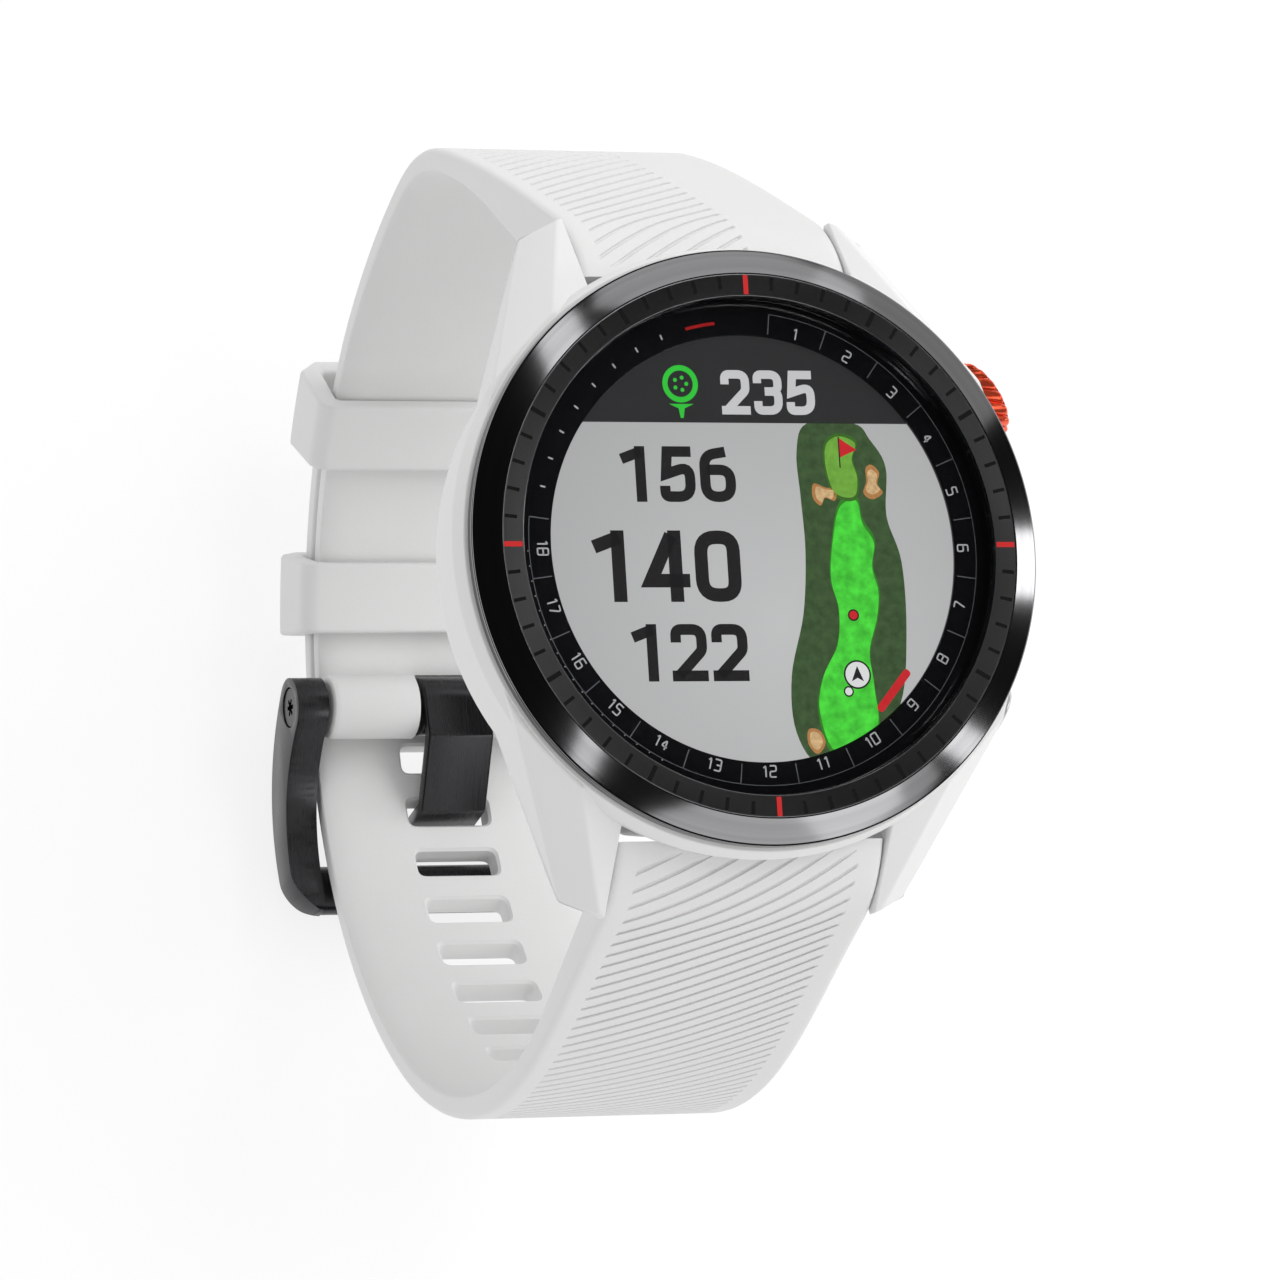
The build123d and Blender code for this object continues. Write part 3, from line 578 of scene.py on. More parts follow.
# ---- front glass ---------------------------------------------------------------------------------
# A flat disc of clear mineral glass with a ground edge.  It is bonded inside the bezel, just below
# the level of the tick ring.
GLASS_R, GLASS_FOOT, GLASS_TOP = 19.18, 12.97, 14.2


def clear_glass():
    material, tree = new_material("lens_glass")
    wiped = spread_to(tree, noise(tree, coords_of(tree), 140.0), 0.0, 0.02)
    glass = node(tree, "ShaderNodeBsdfPrincipled", {
        "Base Color": (0.985, 0.995, 1.0, 1), "Transmission Weight": 1.0, "IOR": 1.25, "Roughness": wiped})
    open_air = node(tree, "ShaderNodeBsdfTransparent")
    shadow_ray = node(tree, "ShaderNodeLightPath").outputs["Is Shadow Ray"]
    show(tree, mix_of(tree, shadow_ray, glass.outputs[0], open_air.outputs[0]))
    return material


glass_outline = rounded(rectangle(0, GLASS_R, GLASS_FOOT, GLASS_TOP), [0, 0.12, 0.18, 0], 3)
fit(to_object("front_glass", lathe(bmesh.new(), glass_outline, 256)), "root", "lens_glass", clear_glass(),
    "front_lens")


# ---- printed dial ring ---------------------------------------------------------------------------
# A gloss black ring under the glass, printed in grey with eighteen numbered sectors, one for each
# hole of a round, and a fine outer line.  The numbers are drawn as squared strokes.
DIAL_TOP = 12.9
PRINT_TOP = 12.925
LINE_R, LINE_WIDTH = 18.28, 0.06
SECTOR_FROM, SECTOR_PITCH, SECTORS = 7.5, 15.0, 18      # clockwise from 12 o'clock
DIVIDER = (16.75, 18.28, 0.085)                         # from, to, width
NUMERAL_R, NUMERAL_HIGH, NUMERAL_WIDE, NUMERAL_PEN = 17.22, 0.86, 0.50, 0.115
ONE_WIDE, NUMERAL_GAP, NUMERAL_BEND = 0.42, 0.2, 0.13
FLIP_FROM, FLIP_TO = 7, 18                              # numerals that read from inside the dial
SMALL_MARK, SMALL_MARKS = (17.35, 17.75, 0.12), [285.5 + 7.5 * k for k in range(8)]
RED_MARK = (345.0, 353.0, 17.42, 17.66)
DOT_R, DOTS_AT, DOTS_FROM, DOT_PITCH, DOTS = 0.045, 18.42, 208.0, 3.6, 18
RING_SPAN = (16.51, 19.2, 12.6, 12.9)
NUMERALS = {
    "0": [[(0, 0), (1, 0), (1, 1), (0, 1), (0, 0)]],
    "1": [[(0.25, 0.80), (0.66, 1), (0.66, 0)]],
    "2": [[(0, 1), (1, 1), (1, 0.52), (0, 0.48), (0, 0), (1, 0)]],
    "3": [[(0, 1), (1, 1), (1, 0), (0, 0)], [(0.3, 0.5), (1, 0.5)]],
    "4": [[(0.72, 0), (0.72, 1), (0, 0.28), (1, 0.28)]],
    "5": [[(1, 1), (0, 1), (0, 0.56), (1, 0.56), (1, 0), (0, 0)]],
    "6": [[(1, 1), (0, 1), (0, 0), (1, 0), (1, 0.55), (0, 0.55)]],
    "7": [[(0, 1), (1, 1), (0.38, 0)]],
    "8": [[(0, 0), (1, 0), (1, 1), (0, 1), (0, 0)], [(0, 0.52), (1, 0.52)]],
    "9": [[(0, 0), (1, 0), (1, 1), (0, 1), (0, 0.45), (1, 0.45)]],
}


def ribbon(points, width):
    """Closed outline of a pen stroke of even width along the points."""
    points = [Vector(p).to_2d() for p in points]
    left, right = [], []
    for i, p in enumerate(points):
        before = (p - points[i - 1]).normalized() if i else None
        after = (points[i + 1] - p).normalized() if i < len(points) - 1 else None
        along = ((before or after) + (after or before)).normalized()
        side = Vector((-along.y, along.x))
        reference = before or after
        reach = width / 2 / max(0.35, side.dot(Vector((-reference.y, reference.x))))
        left.append(p + side * reach)
        right.append(p - side * reach)
    return left + right[::-1]


def clock(degrees):
    """Turns from +X, for an angle clockwise from 12 o'clock."""
    return math.radians(90 - degrees)


def bar_round(bm, degrees, inner, outer, width):
    """A straight printed bar along a radius."""
    prism(bm, rectangle(inner, outer, -width / 2, width / 2), DIAL_TOP, PRINT_TOP,
          Matrix.Rotation(clock(degrees), 4, "Z"))


def arc_band(bm, start, end, inner, outer, pitch=1.5):
    """A printed band along the dial, between two clockwise angles."""
    steps = max(2, round(abs(end - start) / pitch))
    turns = [clock(start + (end - start) * k / steps) for k in range(steps + 1)]
    edge = [(outer * math.cos(a), outer * math.sin(a)) for a in turns]
    edge += [(inner * math.cos(a), inner * math.sin(a)) for a in reversed(turns)]
    return prism(bm, edge, DIAL_TOP, PRINT_TOP)


def numeral(bm, text, degrees, flipped):
    """Digits centred on the numeral circle, upright to the rim or to the centre."""
    wide = [ONE_WIDE if c == "1" else NUMERAL_WIDE for c in text]
    turn = Matrix.Rotation(math.pi, 4, "Z") if flipped else Matrix.Identity(4)
    place = Matrix.Rotation(math.radians(-degrees), 4, "Z") @ Matrix.Translation((0, NUMERAL_R, 0)) @ turn
    x = -(sum(wide) + NUMERAL_GAP * (len(text) - 1)) / 2
    for digit, w in zip(text, wide):
        for stroke in NUMERALS[digit]:
            points = [(x + p[0] * w, (p[1] - 0.5) * NUMERAL_HIGH) for p in stroke]
            outline = ribbon(rounded(points, NUMERAL_BEND, 3, closed=False), NUMERAL_PEN)
            prism(bm, outline, DIAL_TOP, PRINT_TOP, place)
        x += w + NUMERAL_GAP


def dial_sectors():
    bm = bmesh.new()
    for k in range(SECTORS + 1):
        bar_round(bm, SECTOR_FROM + k * SECTOR_PITCH, *DIVIDER)
    return arc_band(bm, SECTOR_FROM, SECTOR_FROM + SECTOR_PITCH * SECTORS, LINE_R, LINE_R + LINE_WIDTH)


def dial_numerals():
    bm = bmesh.new()
    for k in range(SECTORS):
        numeral(bm, str(k + 1), SECTOR_FROM + (k + 0.5) * SECTOR_PITCH, FLIP_FROM <= k + 1 <= FLIP_TO)
    for degrees in SMALL_MARKS:
        bar_round(bm, degrees, *SMALL_MARK)
    for k in range(DOTS):
        place = Matrix.Rotation(clock(DOTS_FROM + k * DOT_PITCH), 4, "Z")
        prism(bm, circle(DOT_R, 8, (DOTS_AT, 0)), DIAL_TOP, PRINT_TOP, place)
    return bm


ring_outline = rounded(rectangle(*RING_SPAN), [0.02, 0.02, 0.02, 0.05], 2)
ring_black = enamel("ring_black", (0.006, 0.006, 0.007), 0.16, 0.2, 0.0002)
print_grey = enamel("print_grey", (0.14, 0.15, 0.16), 0.4)
print_white = enamel("print_white", (0.62, 0.63, 0.64), 0.4)
ring_body = to_object("dial_ring_body", lathe(bmesh.new(), ring_outline, ROUND_STEPS))
fit(ring_body, "root", "dial_ring_print", ring_black, "dial_ring")
for name, bench, paint in (("dial_sectors", dial_sectors(), print_grey),
                           ("dial_numerals", dial_numerals(), print_white),
                           ("dial_red_mark", arc_band(bmesh.new(), *RED_MARK), tick_red)):
    fit(to_object(name, bench), "root", "dial_ring_print", paint)


# ---- lit screen ----------------------------------------------------------------------------------
# A round colour screen behind the dial ring.  It shows three distances, a header with a ball on a
# tee, and a map of one hole: rough, fairway, green, bunkers, flag and the player's place.
SCREEN_FLOOR = 12.50
READING_PEN = 0.19            # this and the next four are shares of a digit's height
DIGIT_WIDE, DIGIT_GAP, ONE_WIDTH, ONE_GAP = 0.66, 0.09, 0.44, 0.25
HEAVY = {           # pen strokes of each digit, with the bend of each corner
    "0": [([(1, 0.5), (1, 1), (0, 1), (0, 0), (1, 0), (1, 0.5)], [0, 0.55, 0.55, 0.55, 0.55, 0])],
    "1": [([(1, -0.117), (1, 1.117)], [0, 0]), ([(-0.38, 0.83), (1.1, 1.0)], [0, 0])],
    "2": [([(0, 0.72), (0, 1), (1, 1), (1, 0.55), (0.06, 0)], [0, 0.5, 0.5, 0.35, 0]),
          ([(-0.2, 0), (1.2, 0)], [0, 0])],
    "3": [([(0, 0.76), (0, 1), (1, 1), (1, 0.53), (0.35, 0.53)], [0, 0.5, 0.5, 0.4, 0]),
          ([(0.35, 0.53), (1, 0.53), (1, 0), (0, 0), (0, 0.26)], [0, 0.4, 0.5, 0.5, 0])],
    "4": [([(0.80, -0.117), (0.80, 1.117)], [0, 0]), ([(0.70, 1.04), (0.02, 0.25), (1.22, 0.25)], [0, 0, 0])],
    "5": [([(1.08, 1), (0.14, 1), (0.06, 0.50), (1, 0.68), (1, 0), (0, 0), (0, 0.24)],
           [0, 0, 0, 0.5, 0.5, 0.5, 0])],
    "6": [([(0.84, 1.0), (0, 0.92), (0, 0), (1, 0), (1, 0.60), (0.1, 0.60)], [0, 0.9, 0.5, 0.5, 0.5, 0])],
}
LAYER = 0.011
SCREEN_EDGE = 17.1
HEADER_Y = 9.75
READINGS = [        # text, lowest corner and highest corner, in millimetres on the dial
    ("235", (-1.8, 10.4), (5.9, 13.85), "header"), ("156", (-10.3, 3.6), (-1.05, 7.9), "dark"),
    ("140", (-12.95, -4.1), (-1.1, 1.4), "dark"), ("122", (-10.25, -10.2), (-0.95, -5.8), "dark")]
ROUGH = [(5.1, 9.75), (4.1, 7.55), (4.2, 3.95), (4.3, -0.25), (3.8, -5.05), (2.5, -9.85), (2.6, -14.15),
         (4.5, -16.65), (8.5, -14.85), (11.3, -12.05), (12.2, -6.65), (12.2, -1.05), (11.2, 2.55),
         (11.4, 6.35), (10.2, 8.55), (9, 9.75)]
FAIRWAY = [(7.3, 3.55), (6.5, 0.55), (6.2, -2.25), (6.7, -4.65), (6.4, -7.45), (5, -10.05), (4.5, -12.85),
           (5.7, -16.05), (9.2, -14.45), (9.3, -10.85), (9.1, -8.05), (9.9, -5.45), (10.2, -3.25),
           (9.8, -1.25), (10.1, 0.75), (9.2, 2.35), (8.8, 4.15)]
GREEN = [(7.6, 9), (6.4, 8.2), (6.3, 6.2), (7, 4.1), (8.7, 3.8), (9.1, 5.4), (8.7, 7), (9.1, 8.4)]
BUNKERS = [
    [(5.3, 5.05), (6.3, 4.75), (7.2, 4.65), (7, 3.75), (6.2, 3.95), (5.8, 3.35), (5.2, 3.95)],
    [(9.7, 6.25), (10.2, 6.55), (10.8, 5.95), (10.6, 5.05), (11, 4.35), (10.1, 3.85), (9.4, 4.35),
     (9.7, 5.25)],
    [(3.6, -13.95), (4.5, -14.05), (4.9, -15.05), (4.2, -15.85), (3.5, -15.05)]]
FLAG = [(7.65, 8.6), (9.05, 7.7), (7.65, 7.1)]
TEE_MARK, TEE_MARK_R = (7.9, -5.15), 0.46
PLAYER, PLAYER_R = (7.9, -9.75), 1.12
BALL_MARK, BALL_MARK_R = (7.1, -11.05), 0.42
LIMIT_BAR = [(9.5, -12.55), (12.15, -9.45)]
ICON_BALL, ICON_BALL_R, ICON_PEN = (-5.1, 12.75), 1.45, 0.42
ICON_DIMPLES, ICON_DIMPLE_R, ICON_DIMPLE_AT = 5, 0.16, 0.5
TEE = [(-1.0, -1.5625), (1.0, -1.5625), (0.25, -1.9), (0.12, -2.65), (-0.12, -2.65), (-0.25, -1.9)]
ARROW = [(0, 0.66), (-0.5, -0.52), (0, -0.26), (0.5, -0.52)]
MARK_EDGE, PLAYER_EDGE, LIMIT_BAR_HALF = 0.12, 0.14, 0.32
FAIRWAY_MIDDLE, GREEN_MIDDLE = Vector((7.6, -6.05)), Vector((7.7, 6.5))
FLAGPOLE, FLAGPOLE_WIDTH = [(7.6, 8.7), (7.6, 6.3)], 0.10
LIT_FROM, LIT_REACH = (0.002, -0.006, 0.0125), 0.022     # brightest place, and where it has faded


def flowing(points, steps=6):
    """A smooth closed line through the points."""
    made = []
    count = len(points)
    for i in range(count):
        a, b, c, d = (Vector(points[(i + k) % count]) for k in (-1, 0, 1, 2))
        for k in range(steps):
            t = k / steps
            made.append(0.5 * (2 * b + (c - a) * t + (2 * a - 5 * b + 4 * c - d) * t * t
                               + (3 * b - a - 3 * c + d) * t ** 3))
    return made


def lit(name, colour, mottle=0.05, mottle_mm=4.0, falloff=0.0):
    """Glowing screen colour: its own unevenness and the screen's fine rows."""
    material, tree = new_material(name)
    place = coords_of(tree)
    patches = noise(tree, place, 1000 / mottle_mm, 3.0)
    rows = node(tree, "ShaderNodeTexWave", {"Vector": place, "Scale": 2200.0}, bands_direction="Y")
    reach = node(tree, "ShaderNodeVectorMath", {0: place, 1: LIT_FROM}, operation="DISTANCE")
    gain = maths(tree, "MULTIPLY", spread_to(tree, patches, 1 - mottle, 1 + mottle, 0.3, 0.7),
                 spread_to(tree, rows.outputs["Fac"], 0.985, 1.015))
    faded = spread_to(tree, reach.outputs["Value"], 1 + falloff * 0.6, 1 - falloff, 0.0, LIT_REACH)
    show_surface(tree, {
        "Base Color": (0.01, 0.01, 0.01, 1), "Roughness": 0.4, "Specular IOR Level": 0.0,
        "Emission Color": shaded(tree, colour, maths(tree, "MULTIPLY", gain, faded)),
        "Emission Strength": 1.0})
    return material


def layer(outlines, level, bm=None):
    """Flat closed shapes on one level of the picture."""
    bm = bm or bmesh.new()
    low = SCREEN_FLOOR + LAYER * level
    for outline in outlines:
        prism(bm, outline, low, low + LAYER)
    return bm


def screen_piece(name, bench, material, *stands_for):
    fit(to_object(name, bench), "root", "display", material, *stands_for)


def reading(text, low, high, level):
    """Heavy upright digits fitted to a box, built from pen strokes."""
    tall = high[1] - low[1]
    pen = READING_PEN * tall
    widths = [(ONE_WIDTH if c == "1" else DIGIT_WIDE) * tall for c in text]
    gaps = [(ONE_GAP if c == "1" else DIGIT_GAP) * tall for c in text[:-1]] + [0]
    squeeze = (high[0] - low[0]) / (sum(widths) + sum(gaps))
    bm = bmesh.new()
    x = 0
    for digit, width, gap in zip(text, widths, gaps):
        w, h = width - pen, tall - pen
        for stroke, bends in HEAVY[digit]:
            line = [(x + pen / 2 + p[0] * w, pen / 2 + p[1] * h) for p in stroke]
            line = rounded(line, [b * w for b in bends], 6, closed=False)
            layer([[(low[0] + p.x * squeeze, low[1] + p.y) for p in ribbon(line, pen)]], level, bm)
        x += width + gap
    return bm


def loop_outline(centre, outer, inner, steps=48):
    """A ring as one closed outline, joined along a hairline cut."""
    return circle(outer, steps, centre) + [(centre[0] + outer, centre[1])] + \
        [(centre[0] + inner, centre[1])] + circle(inner, steps, centre)[::-1]


def shrunk(outline, middle, scale):
    return [middle + (p - middle) * scale for p in outline]


def moved_to(place, outline):
    return [(place[0] + x, place[1] + y) for x, y in outline]


def limit_bar():
    start, end = (Vector(p) for p in LIMIT_BAR)
    along = (end - start).normalized()
    side = Vector((-along.y, along.x)) * LIMIT_BAR_HALF
    return rounded([start + side, start - side, end - side, end + side], 0.3, 5)


header_turn = math.asin(HEADER_Y / SCREEN_EDGE)
header = [(SCREEN_EDGE * math.cos(a), SCREEN_EDGE * math.sin(a))
          for a in [header_turn + (math.pi - 2 * header_turn) * k / 60 for k in range(61)]]
fairway, green, bunkers = flowing(FAIRWAY), flowing(GREEN), [flowing(b) for b in BUNKERS]
sand = [shrunk(bunker, sum((Vector(p) for p in corners), Vector((0, 0))) / len(corners), 0.72)
        for bunker, corners in zip(bunkers, BUNKERS)]
dimples = [circle(ICON_DIMPLE_R, 10, (ICON_BALL[0] + ICON_DIMPLE_AT * math.cos(a),
                                      ICON_BALL[1] + ICON_DIMPLE_AT * math.sin(a)))
           for a in [2 * math.pi * k / ICON_DIMPLES for k in range(ICON_DIMPLES)]]
icon = [loop_outline(ICON_BALL, ICON_BALL_R, ICON_BALL_R - ICON_PEN), *dimples, moved_to(ICON_BALL, TEE)]
lit_dark = lit("screen_dark", (0.016, 0.015, 0.016))
lit_light = lit("screen_light", (0.70, 0.70, 0.70), 0.03)
lit_pale = lit("screen_pale", (0.56, 0.56, 0.565), 0.03)
lit_red = lit("screen_red", (0.56, 0.020, 0.026), 0.08, 0.8)
screen_piece("screen_ground", layer([circle(SCREEN_EDGE, 180)], 0),
             lit("screen_grey", (0.49, 0.49, 0.49), 0.01, 8.0, 0.16), "display_panel")
for text, low, high, tone in READINGS:
    screen_piece("reading_" + text, reading(text, low, high, 2), lit_pale if tone == "header" else lit_dark)
for name, level, material, outlines in (
        ("screen_header", 1, lit("screen_header", (0.026, 0.026, 0.027), 0.05, 8.0), [header]),
        ("map_rough", 1, lit("rough_green", (0.047, 0.088, 0.034), 0.22, 0.7), [flowing(ROUGH)]),
        ("map_fairway_edge", 2, lit("fairway_edge", (0.035, 0.21, 0.020), 0.1, 0.6), [fairway]),
        ("map_fairway", 3, lit("fairway_green", (0.065, 0.60, 0.045), 0.26, 0.9),
         [shrunk(fairway, FAIRWAY_MIDDLE, 0.96)]),
        ("map_green_edge", 4, lit("green_edge", (0.045, 0.14, 0.020), 0.1, 0.5), [green]),
        ("map_green", 5, lit("putting_green", (0.16, 0.38, 0.050), 0.14, 0.6),
         [shrunk(green, GREEN_MIDDLE, 0.90)]),
        ("map_bunker_edges", 4, lit("bunker_edge", (0.42, 0.20, 0.070), 0.1, 0.3), bunkers),
        ("map_bunkers", 5, lit("bunker_sand", (0.60, 0.40, 0.20), 0.22, 0.35), sand),
        ("map_flag", 6, lit_red, [FLAG]),
        ("map_flagpole", 6, lit_dark, [ribbon(FLAGPOLE, FLAGPOLE_WIDTH)]),
        ("map_marks_dark", 4, lit_dark, [circle(TEE_MARK_R, 32, TEE_MARK), circle(PLAYER_R, 48, PLAYER),
                                         circle(BALL_MARK_R, 24, BALL_MARK)]),
        ("map_marks_white", 5, lit_light, [circle(PLAYER_R - PLAYER_EDGE, 48, PLAYER),
                                           circle(BALL_MARK_R - MARK_EDGE, 24, BALL_MARK)]),
        ("map_arrow", 6, lit_dark, [moved_to(PLAYER, ARROW)]),
        ("map_red_marks", 5, lit_red, [circle(TEE_MARK_R - MARK_EDGE, 32, TEE_MARK), limit_bar()]),
        ("header_icon", 2, lit("icon_green", (0.034, 0.54, 0.045), 0.03, 2.0), icon)):
    screen_piece(name, layer(outlines, level), material)


# ---- side buttons --------------------------------------------------------------------------------
# Machined caps on steel stems.  The upper one is anodised red with slanting grip grooves; the other
# two are plain satin steel with a turned face.
CAP_START, CAP_EDGE, CAP_ROWS, CAP_EDGE_ROWS = 22.85, 0.38, 14, 5
CAP_FACE = ((0.80, 0.0), (0.76, 0.10), (0.40, 0.13), (0.15, 0.13))      # share of the radius, depth
STEM_R, STEM_FROM, STEM_SUNK = 1.2, 16.4, 0.05
GRIPS, GRIP_SLANT, GRIP_DEPTH = 16, -0.25, 0.30
GRIP_WAVE = [1.0, 0.30, 0.0, 0.0, 0.05, 0.15, 0.30, 0.50]      # depth across one groove and its land


def button_cap(cap_r, reach, grips):
    """Rings of the cap from its seat to the middle of its face, each with its grip waves."""
    steps = grips * len(GRIP_WAVE) if grips else 96
    tall = reach - CAP_EDGE - CAP_START
    levels = [(cap_r, CAP_START + tall * k / CAP_ROWS) for k in range(CAP_ROWS + 1)]
    levels += [(cap_r - CAP_EDGE * (1 - math.cos(a)), reach - CAP_EDGE * (1 - math.sin(a)))
               for a in [math.pi / 2 * k / CAP_EDGE_ROWS for k in range(1, CAP_EDGE_ROWS + 1)]]
    levels += [(cap_r * share, reach - depth) for share, depth in CAP_FACE]
    bm = bmesh.new()
    rings = []
    for radius, out in levels:
        ring = []
        for k in range(steps):
            turn = 2 * math.pi * k / steps - GRIP_SLANT * (out - CAP_START)
            gripped = grips and radius > cap_r - CAP_EDGE * 0.9
            r = radius - (GRIP_DEPTH * GRIP_WAVE[k % len(GRIP_WAVE)] if gripped else 0)
            ring.append(bm.verts.new((r * math.cos(turn), r * math.sin(turn), out)))
        rings.append(ring)
    for here, after in zip(rings, rings[1:]):
        band(bm, here, after)
    bm.faces.new(rings[0][::-1])
    bm.faces.new(rings[-1])
    return bm


def metal(name, colour, roughness, line_mm, depth_mm, lines_along=(1, 1, 1), shine=1.0, vary=0.19):
    """Bare or anodised metal with fine machining or brushing lines along one direction."""
    material, tree = new_material(name)
    stretched = node(tree, "ShaderNodeVectorMath", {0: coords_of(tree), 1: lines_along}, operation="MULTIPLY")
    lines = noise(tree, stretched.outputs[0], 1000 / line_mm, 3.0)
    show_surface(tree, {
        "Base Color": shaded(tree, colour, spread_to(tree, lines, 1 - vary, 1 + vary)), "Metallic": shine,
        "Roughness": spread_to(tree, lines, roughness - 0.05, roughness + 0.08),
        "Normal": uneven(tree, lines, depth_mm)})
    return material


red_anodised = metal("red_anodised", (0.90, 0.11, 0.045), 0.20, 0.6, 0.0002, shine=0.75, vary=0.05)
satin_steel = metal("satin_steel", (0.62, 0.62, 0.63), 0.28, 0.4, 0.0004, (1, 1, 6), 0.7, 0.08)
for name, (degrees, cap_r, reach) in BUTTONS.items():
    grips, slot, paint = (GRIPS, "button_red", red_anodised) if name == "upper" else \
        (0, "button_silver", satin_steel)
    bench = prism(button_cap(cap_r, reach, grips), circle(STEM_R, 48), STEM_FROM, CAP_START + STEM_SUNK)
    bench.transform(button_place(degrees))
    fit(to_object("button_cap_" + name, bench), "button_" + name, slot, paint, "button_" + name, smooth=38)


# ---- strap ---------------------------------------------------------------------------------------
# Two halves of compression-moulded silicone.  Their outer faces carry fine slanting grooves between
# plain borders; the long half has a row of slots for the tongue.  They are held shut, as on a wrist.
LOOP_Y, LOOP_Z = 0.5, -22.3
SEAM_R, STRAP_T, STRAP_HALF, HALF_GAP = 38.6, 2.2, 11.0, 0.1
END_TOP, END_FOOT = (21.9, 8.9), (21.9, 1.9)
END_ARC_R, END_ARC_FROM, END_ARC_SWEEP = 11.1, -21.0, -43.0
OUTER_EDGE_R = 0.62
INNER_EDGE = (2.4, 0.55)                  # width and depth of the soft inner edge
GROOVE_DEPTH = 0.30
GROOVE = [(-0.5, 0), (-0.14, 0), (-0.075, 0.9), (0, 1), (0.075, 0.9), (0.14, 0)]
EDGE_RAMP = 0.28
STRAPS = {
    "12": {
        "side": 1, "start": 267.6,
        "shared": [(SEAM_R - HALF_GAP - STRAP_T, 54.4), (55.0, 16.0), (12.0, 40.0)],
        "inner": (50.0, 16.0), "run": 13.5, "tip_r": 0.0,
        "grooves": {"first": 3.7, "pitch": 1.66, "growth": 0.0105, "steady": 14, "lean": 0.74,
                    "lean_growth": 0.016, "bow": 0.0, "middle": -2.5, "left": -9.3, "right": 3.4,
                    "last": 56.0, "from": -11, "to": 56, "grooved_to": 34}},
    "6": {
        "side": -1, "start": 306.0, "shared": [(SEAM_R, -93.0), (31.2, -53.0)],
        "inner": (31.2, -13.0), "run": 12.0, "tip_r": 5.5,
        "grooves": {"first": 2.0, "pitch": 1.6, "growth": -0.0125, "steady": 18, "lean": -0.66,
                    "lean_growth": 0.006, "bow": -0.0095, "middle": 0.5, "left": -9.3, "right": 9.0,
                    "last": 62.0, "from": -9, "to": 106, "grooved_to": 55}},
}
SHOULDER_STEPS, BLEND_STEPS, END_STEPS = 12, 40, 60
FACE_STEP = 0.48                          # widest strip of the outer face
FADE_IN, FADE_OUT = 0.8, 3.0              # plain silicone before the grooves, and their run-out
SLOT_COUNT, SLOT_FIRST, SLOT_PITCH = 11, -58.2, 7.12
SLOT_SIZE, SLOT_CORNER, SLOT_RIM = (7.2, 2.4), 0.7, 0.22
BAR_Y, BAR_Z, BAR_HOLE_R, BULGE_R = -1.0, -58.0, 1.0, 2.7
NOTCH, NOTCH_CORNER, NOTCH_HEIGHTS = (-3.4, 3.4, -8.0, 1.8), 0.9, (-64, -53)
POCKET, POCKET_PLACE, POCKET_CORNER = (8.3, 5.4, 1.5), 0.55, 0.45


def arc_chain(start, arcs, offset, centre=(LOOP_Y, LOOP_Z)):
    """(y, z) points of tangent arcs, one each degree or so."""
    y, z, angle, made = *centre, start, []
    last = arcs[0][0]
    for radius, sweep in arcs:
        y += (last - radius) * math.cos(math.radians(angle))
        z += (last - radius) * math.sin(math.radians(angle))
        steps = math.ceil(abs(sweep) / 1.2)
        for k in range(steps + 1):
            a = math.radians(angle + sweep * k / steps)
            if k or not made:
                out = radius + offset
                made.append(Vector((y + out * math.cos(a), z + out * math.sin(a))))
        angle += sweep
        last = radius
    return made


def evenly(points, count):
    """The same line with evenly spaced points."""
    lengths = [0.0]
    for a, b in zip(points, points[1:]):
        lengths.append(lengths[-1] + (b - a).length)
    made, j = [], 0
    for k in range(count + 1):
        s = lengths[-1] * k / count
        while j < len(points) - 2 and lengths[j + 1] < s:
            j += 1
        t = (s - lengths[j]) / max(1e-9, lengths[j + 1] - lengths[j])
        made.append(points[j].lerp(points[j + 1], min(1, t)))
    return made


def strap_stations(half):
    """Matching (distance, outer point, inner point) from the case to the free end."""
    side, start, shared = half["side"], half["start"], half["shared"]
    outer_back = arc_chain(start, shared, STRAP_T)[::-1]
    inner_back = arc_chain(start, shared, 0.0)[::-1]
    whole_inner = arc_chain(start, shared + [half["inner"]], 0.0)
    whole_inner = whole_inner[len(inner_back) - 1:]
    heading = (whole_inner[-1] - whole_inner[-2]).normalized()
    whole_inner.append(whole_inner[-1] + heading * half["run"])
    whole_inner.append(Vector((side * END_FOOT[0], END_FOOT[1])))
    turn = math.radians(END_ARC_FROM)
    top = Vector((side * END_TOP[0], END_TOP[1]))
    centre = top + Vector((side * math.sin(turn), -math.cos(turn))) * END_ARC_R
    shoulder = []
    for k in range(SHOULDER_STEPS + 1):
        a = turn + math.radians(END_ARC_SWEEP) * k / SHOULDER_STEPS
        shoulder.append(centre + Vector((-side * math.sin(a), math.cos(a))) * END_ARC_R)
    end_turn = turn + math.radians(END_ARC_SWEEP)
    leave = Vector((side * math.cos(end_turn), math.sin(end_turn)))
    arrive = (outer_back[1] - outer_back[0]).normalized()
    chord = (outer_back[0] - shoulder[-1]).length
    blend = []
    for k in range(1, BLEND_STEPS + 1):
        t = k / BLEND_STEPS
        blend.append(shoulder[-1] * (2 * t ** 3 - 3 * t ** 2 + 1) + leave * chord * (t ** 3 - 2 * t ** 2 + t)
                     + outer_back[0] * (3 * t ** 2 - 2 * t ** 3) + arrive * chord * (t ** 3 - t ** 2))
    outer = evenly(shoulder + blend, END_STEPS) + outer_back[1:]
    inner = evenly(whole_inner[::-1], END_STEPS) + inner_back[1:]
    stations, s = [], 0.0
    for i, (o, n) in enumerate(zip(outer, inner)):
        if i:
            s += (o - outer[i - 1]).length
        stations.append((s, o, n))
    return stations


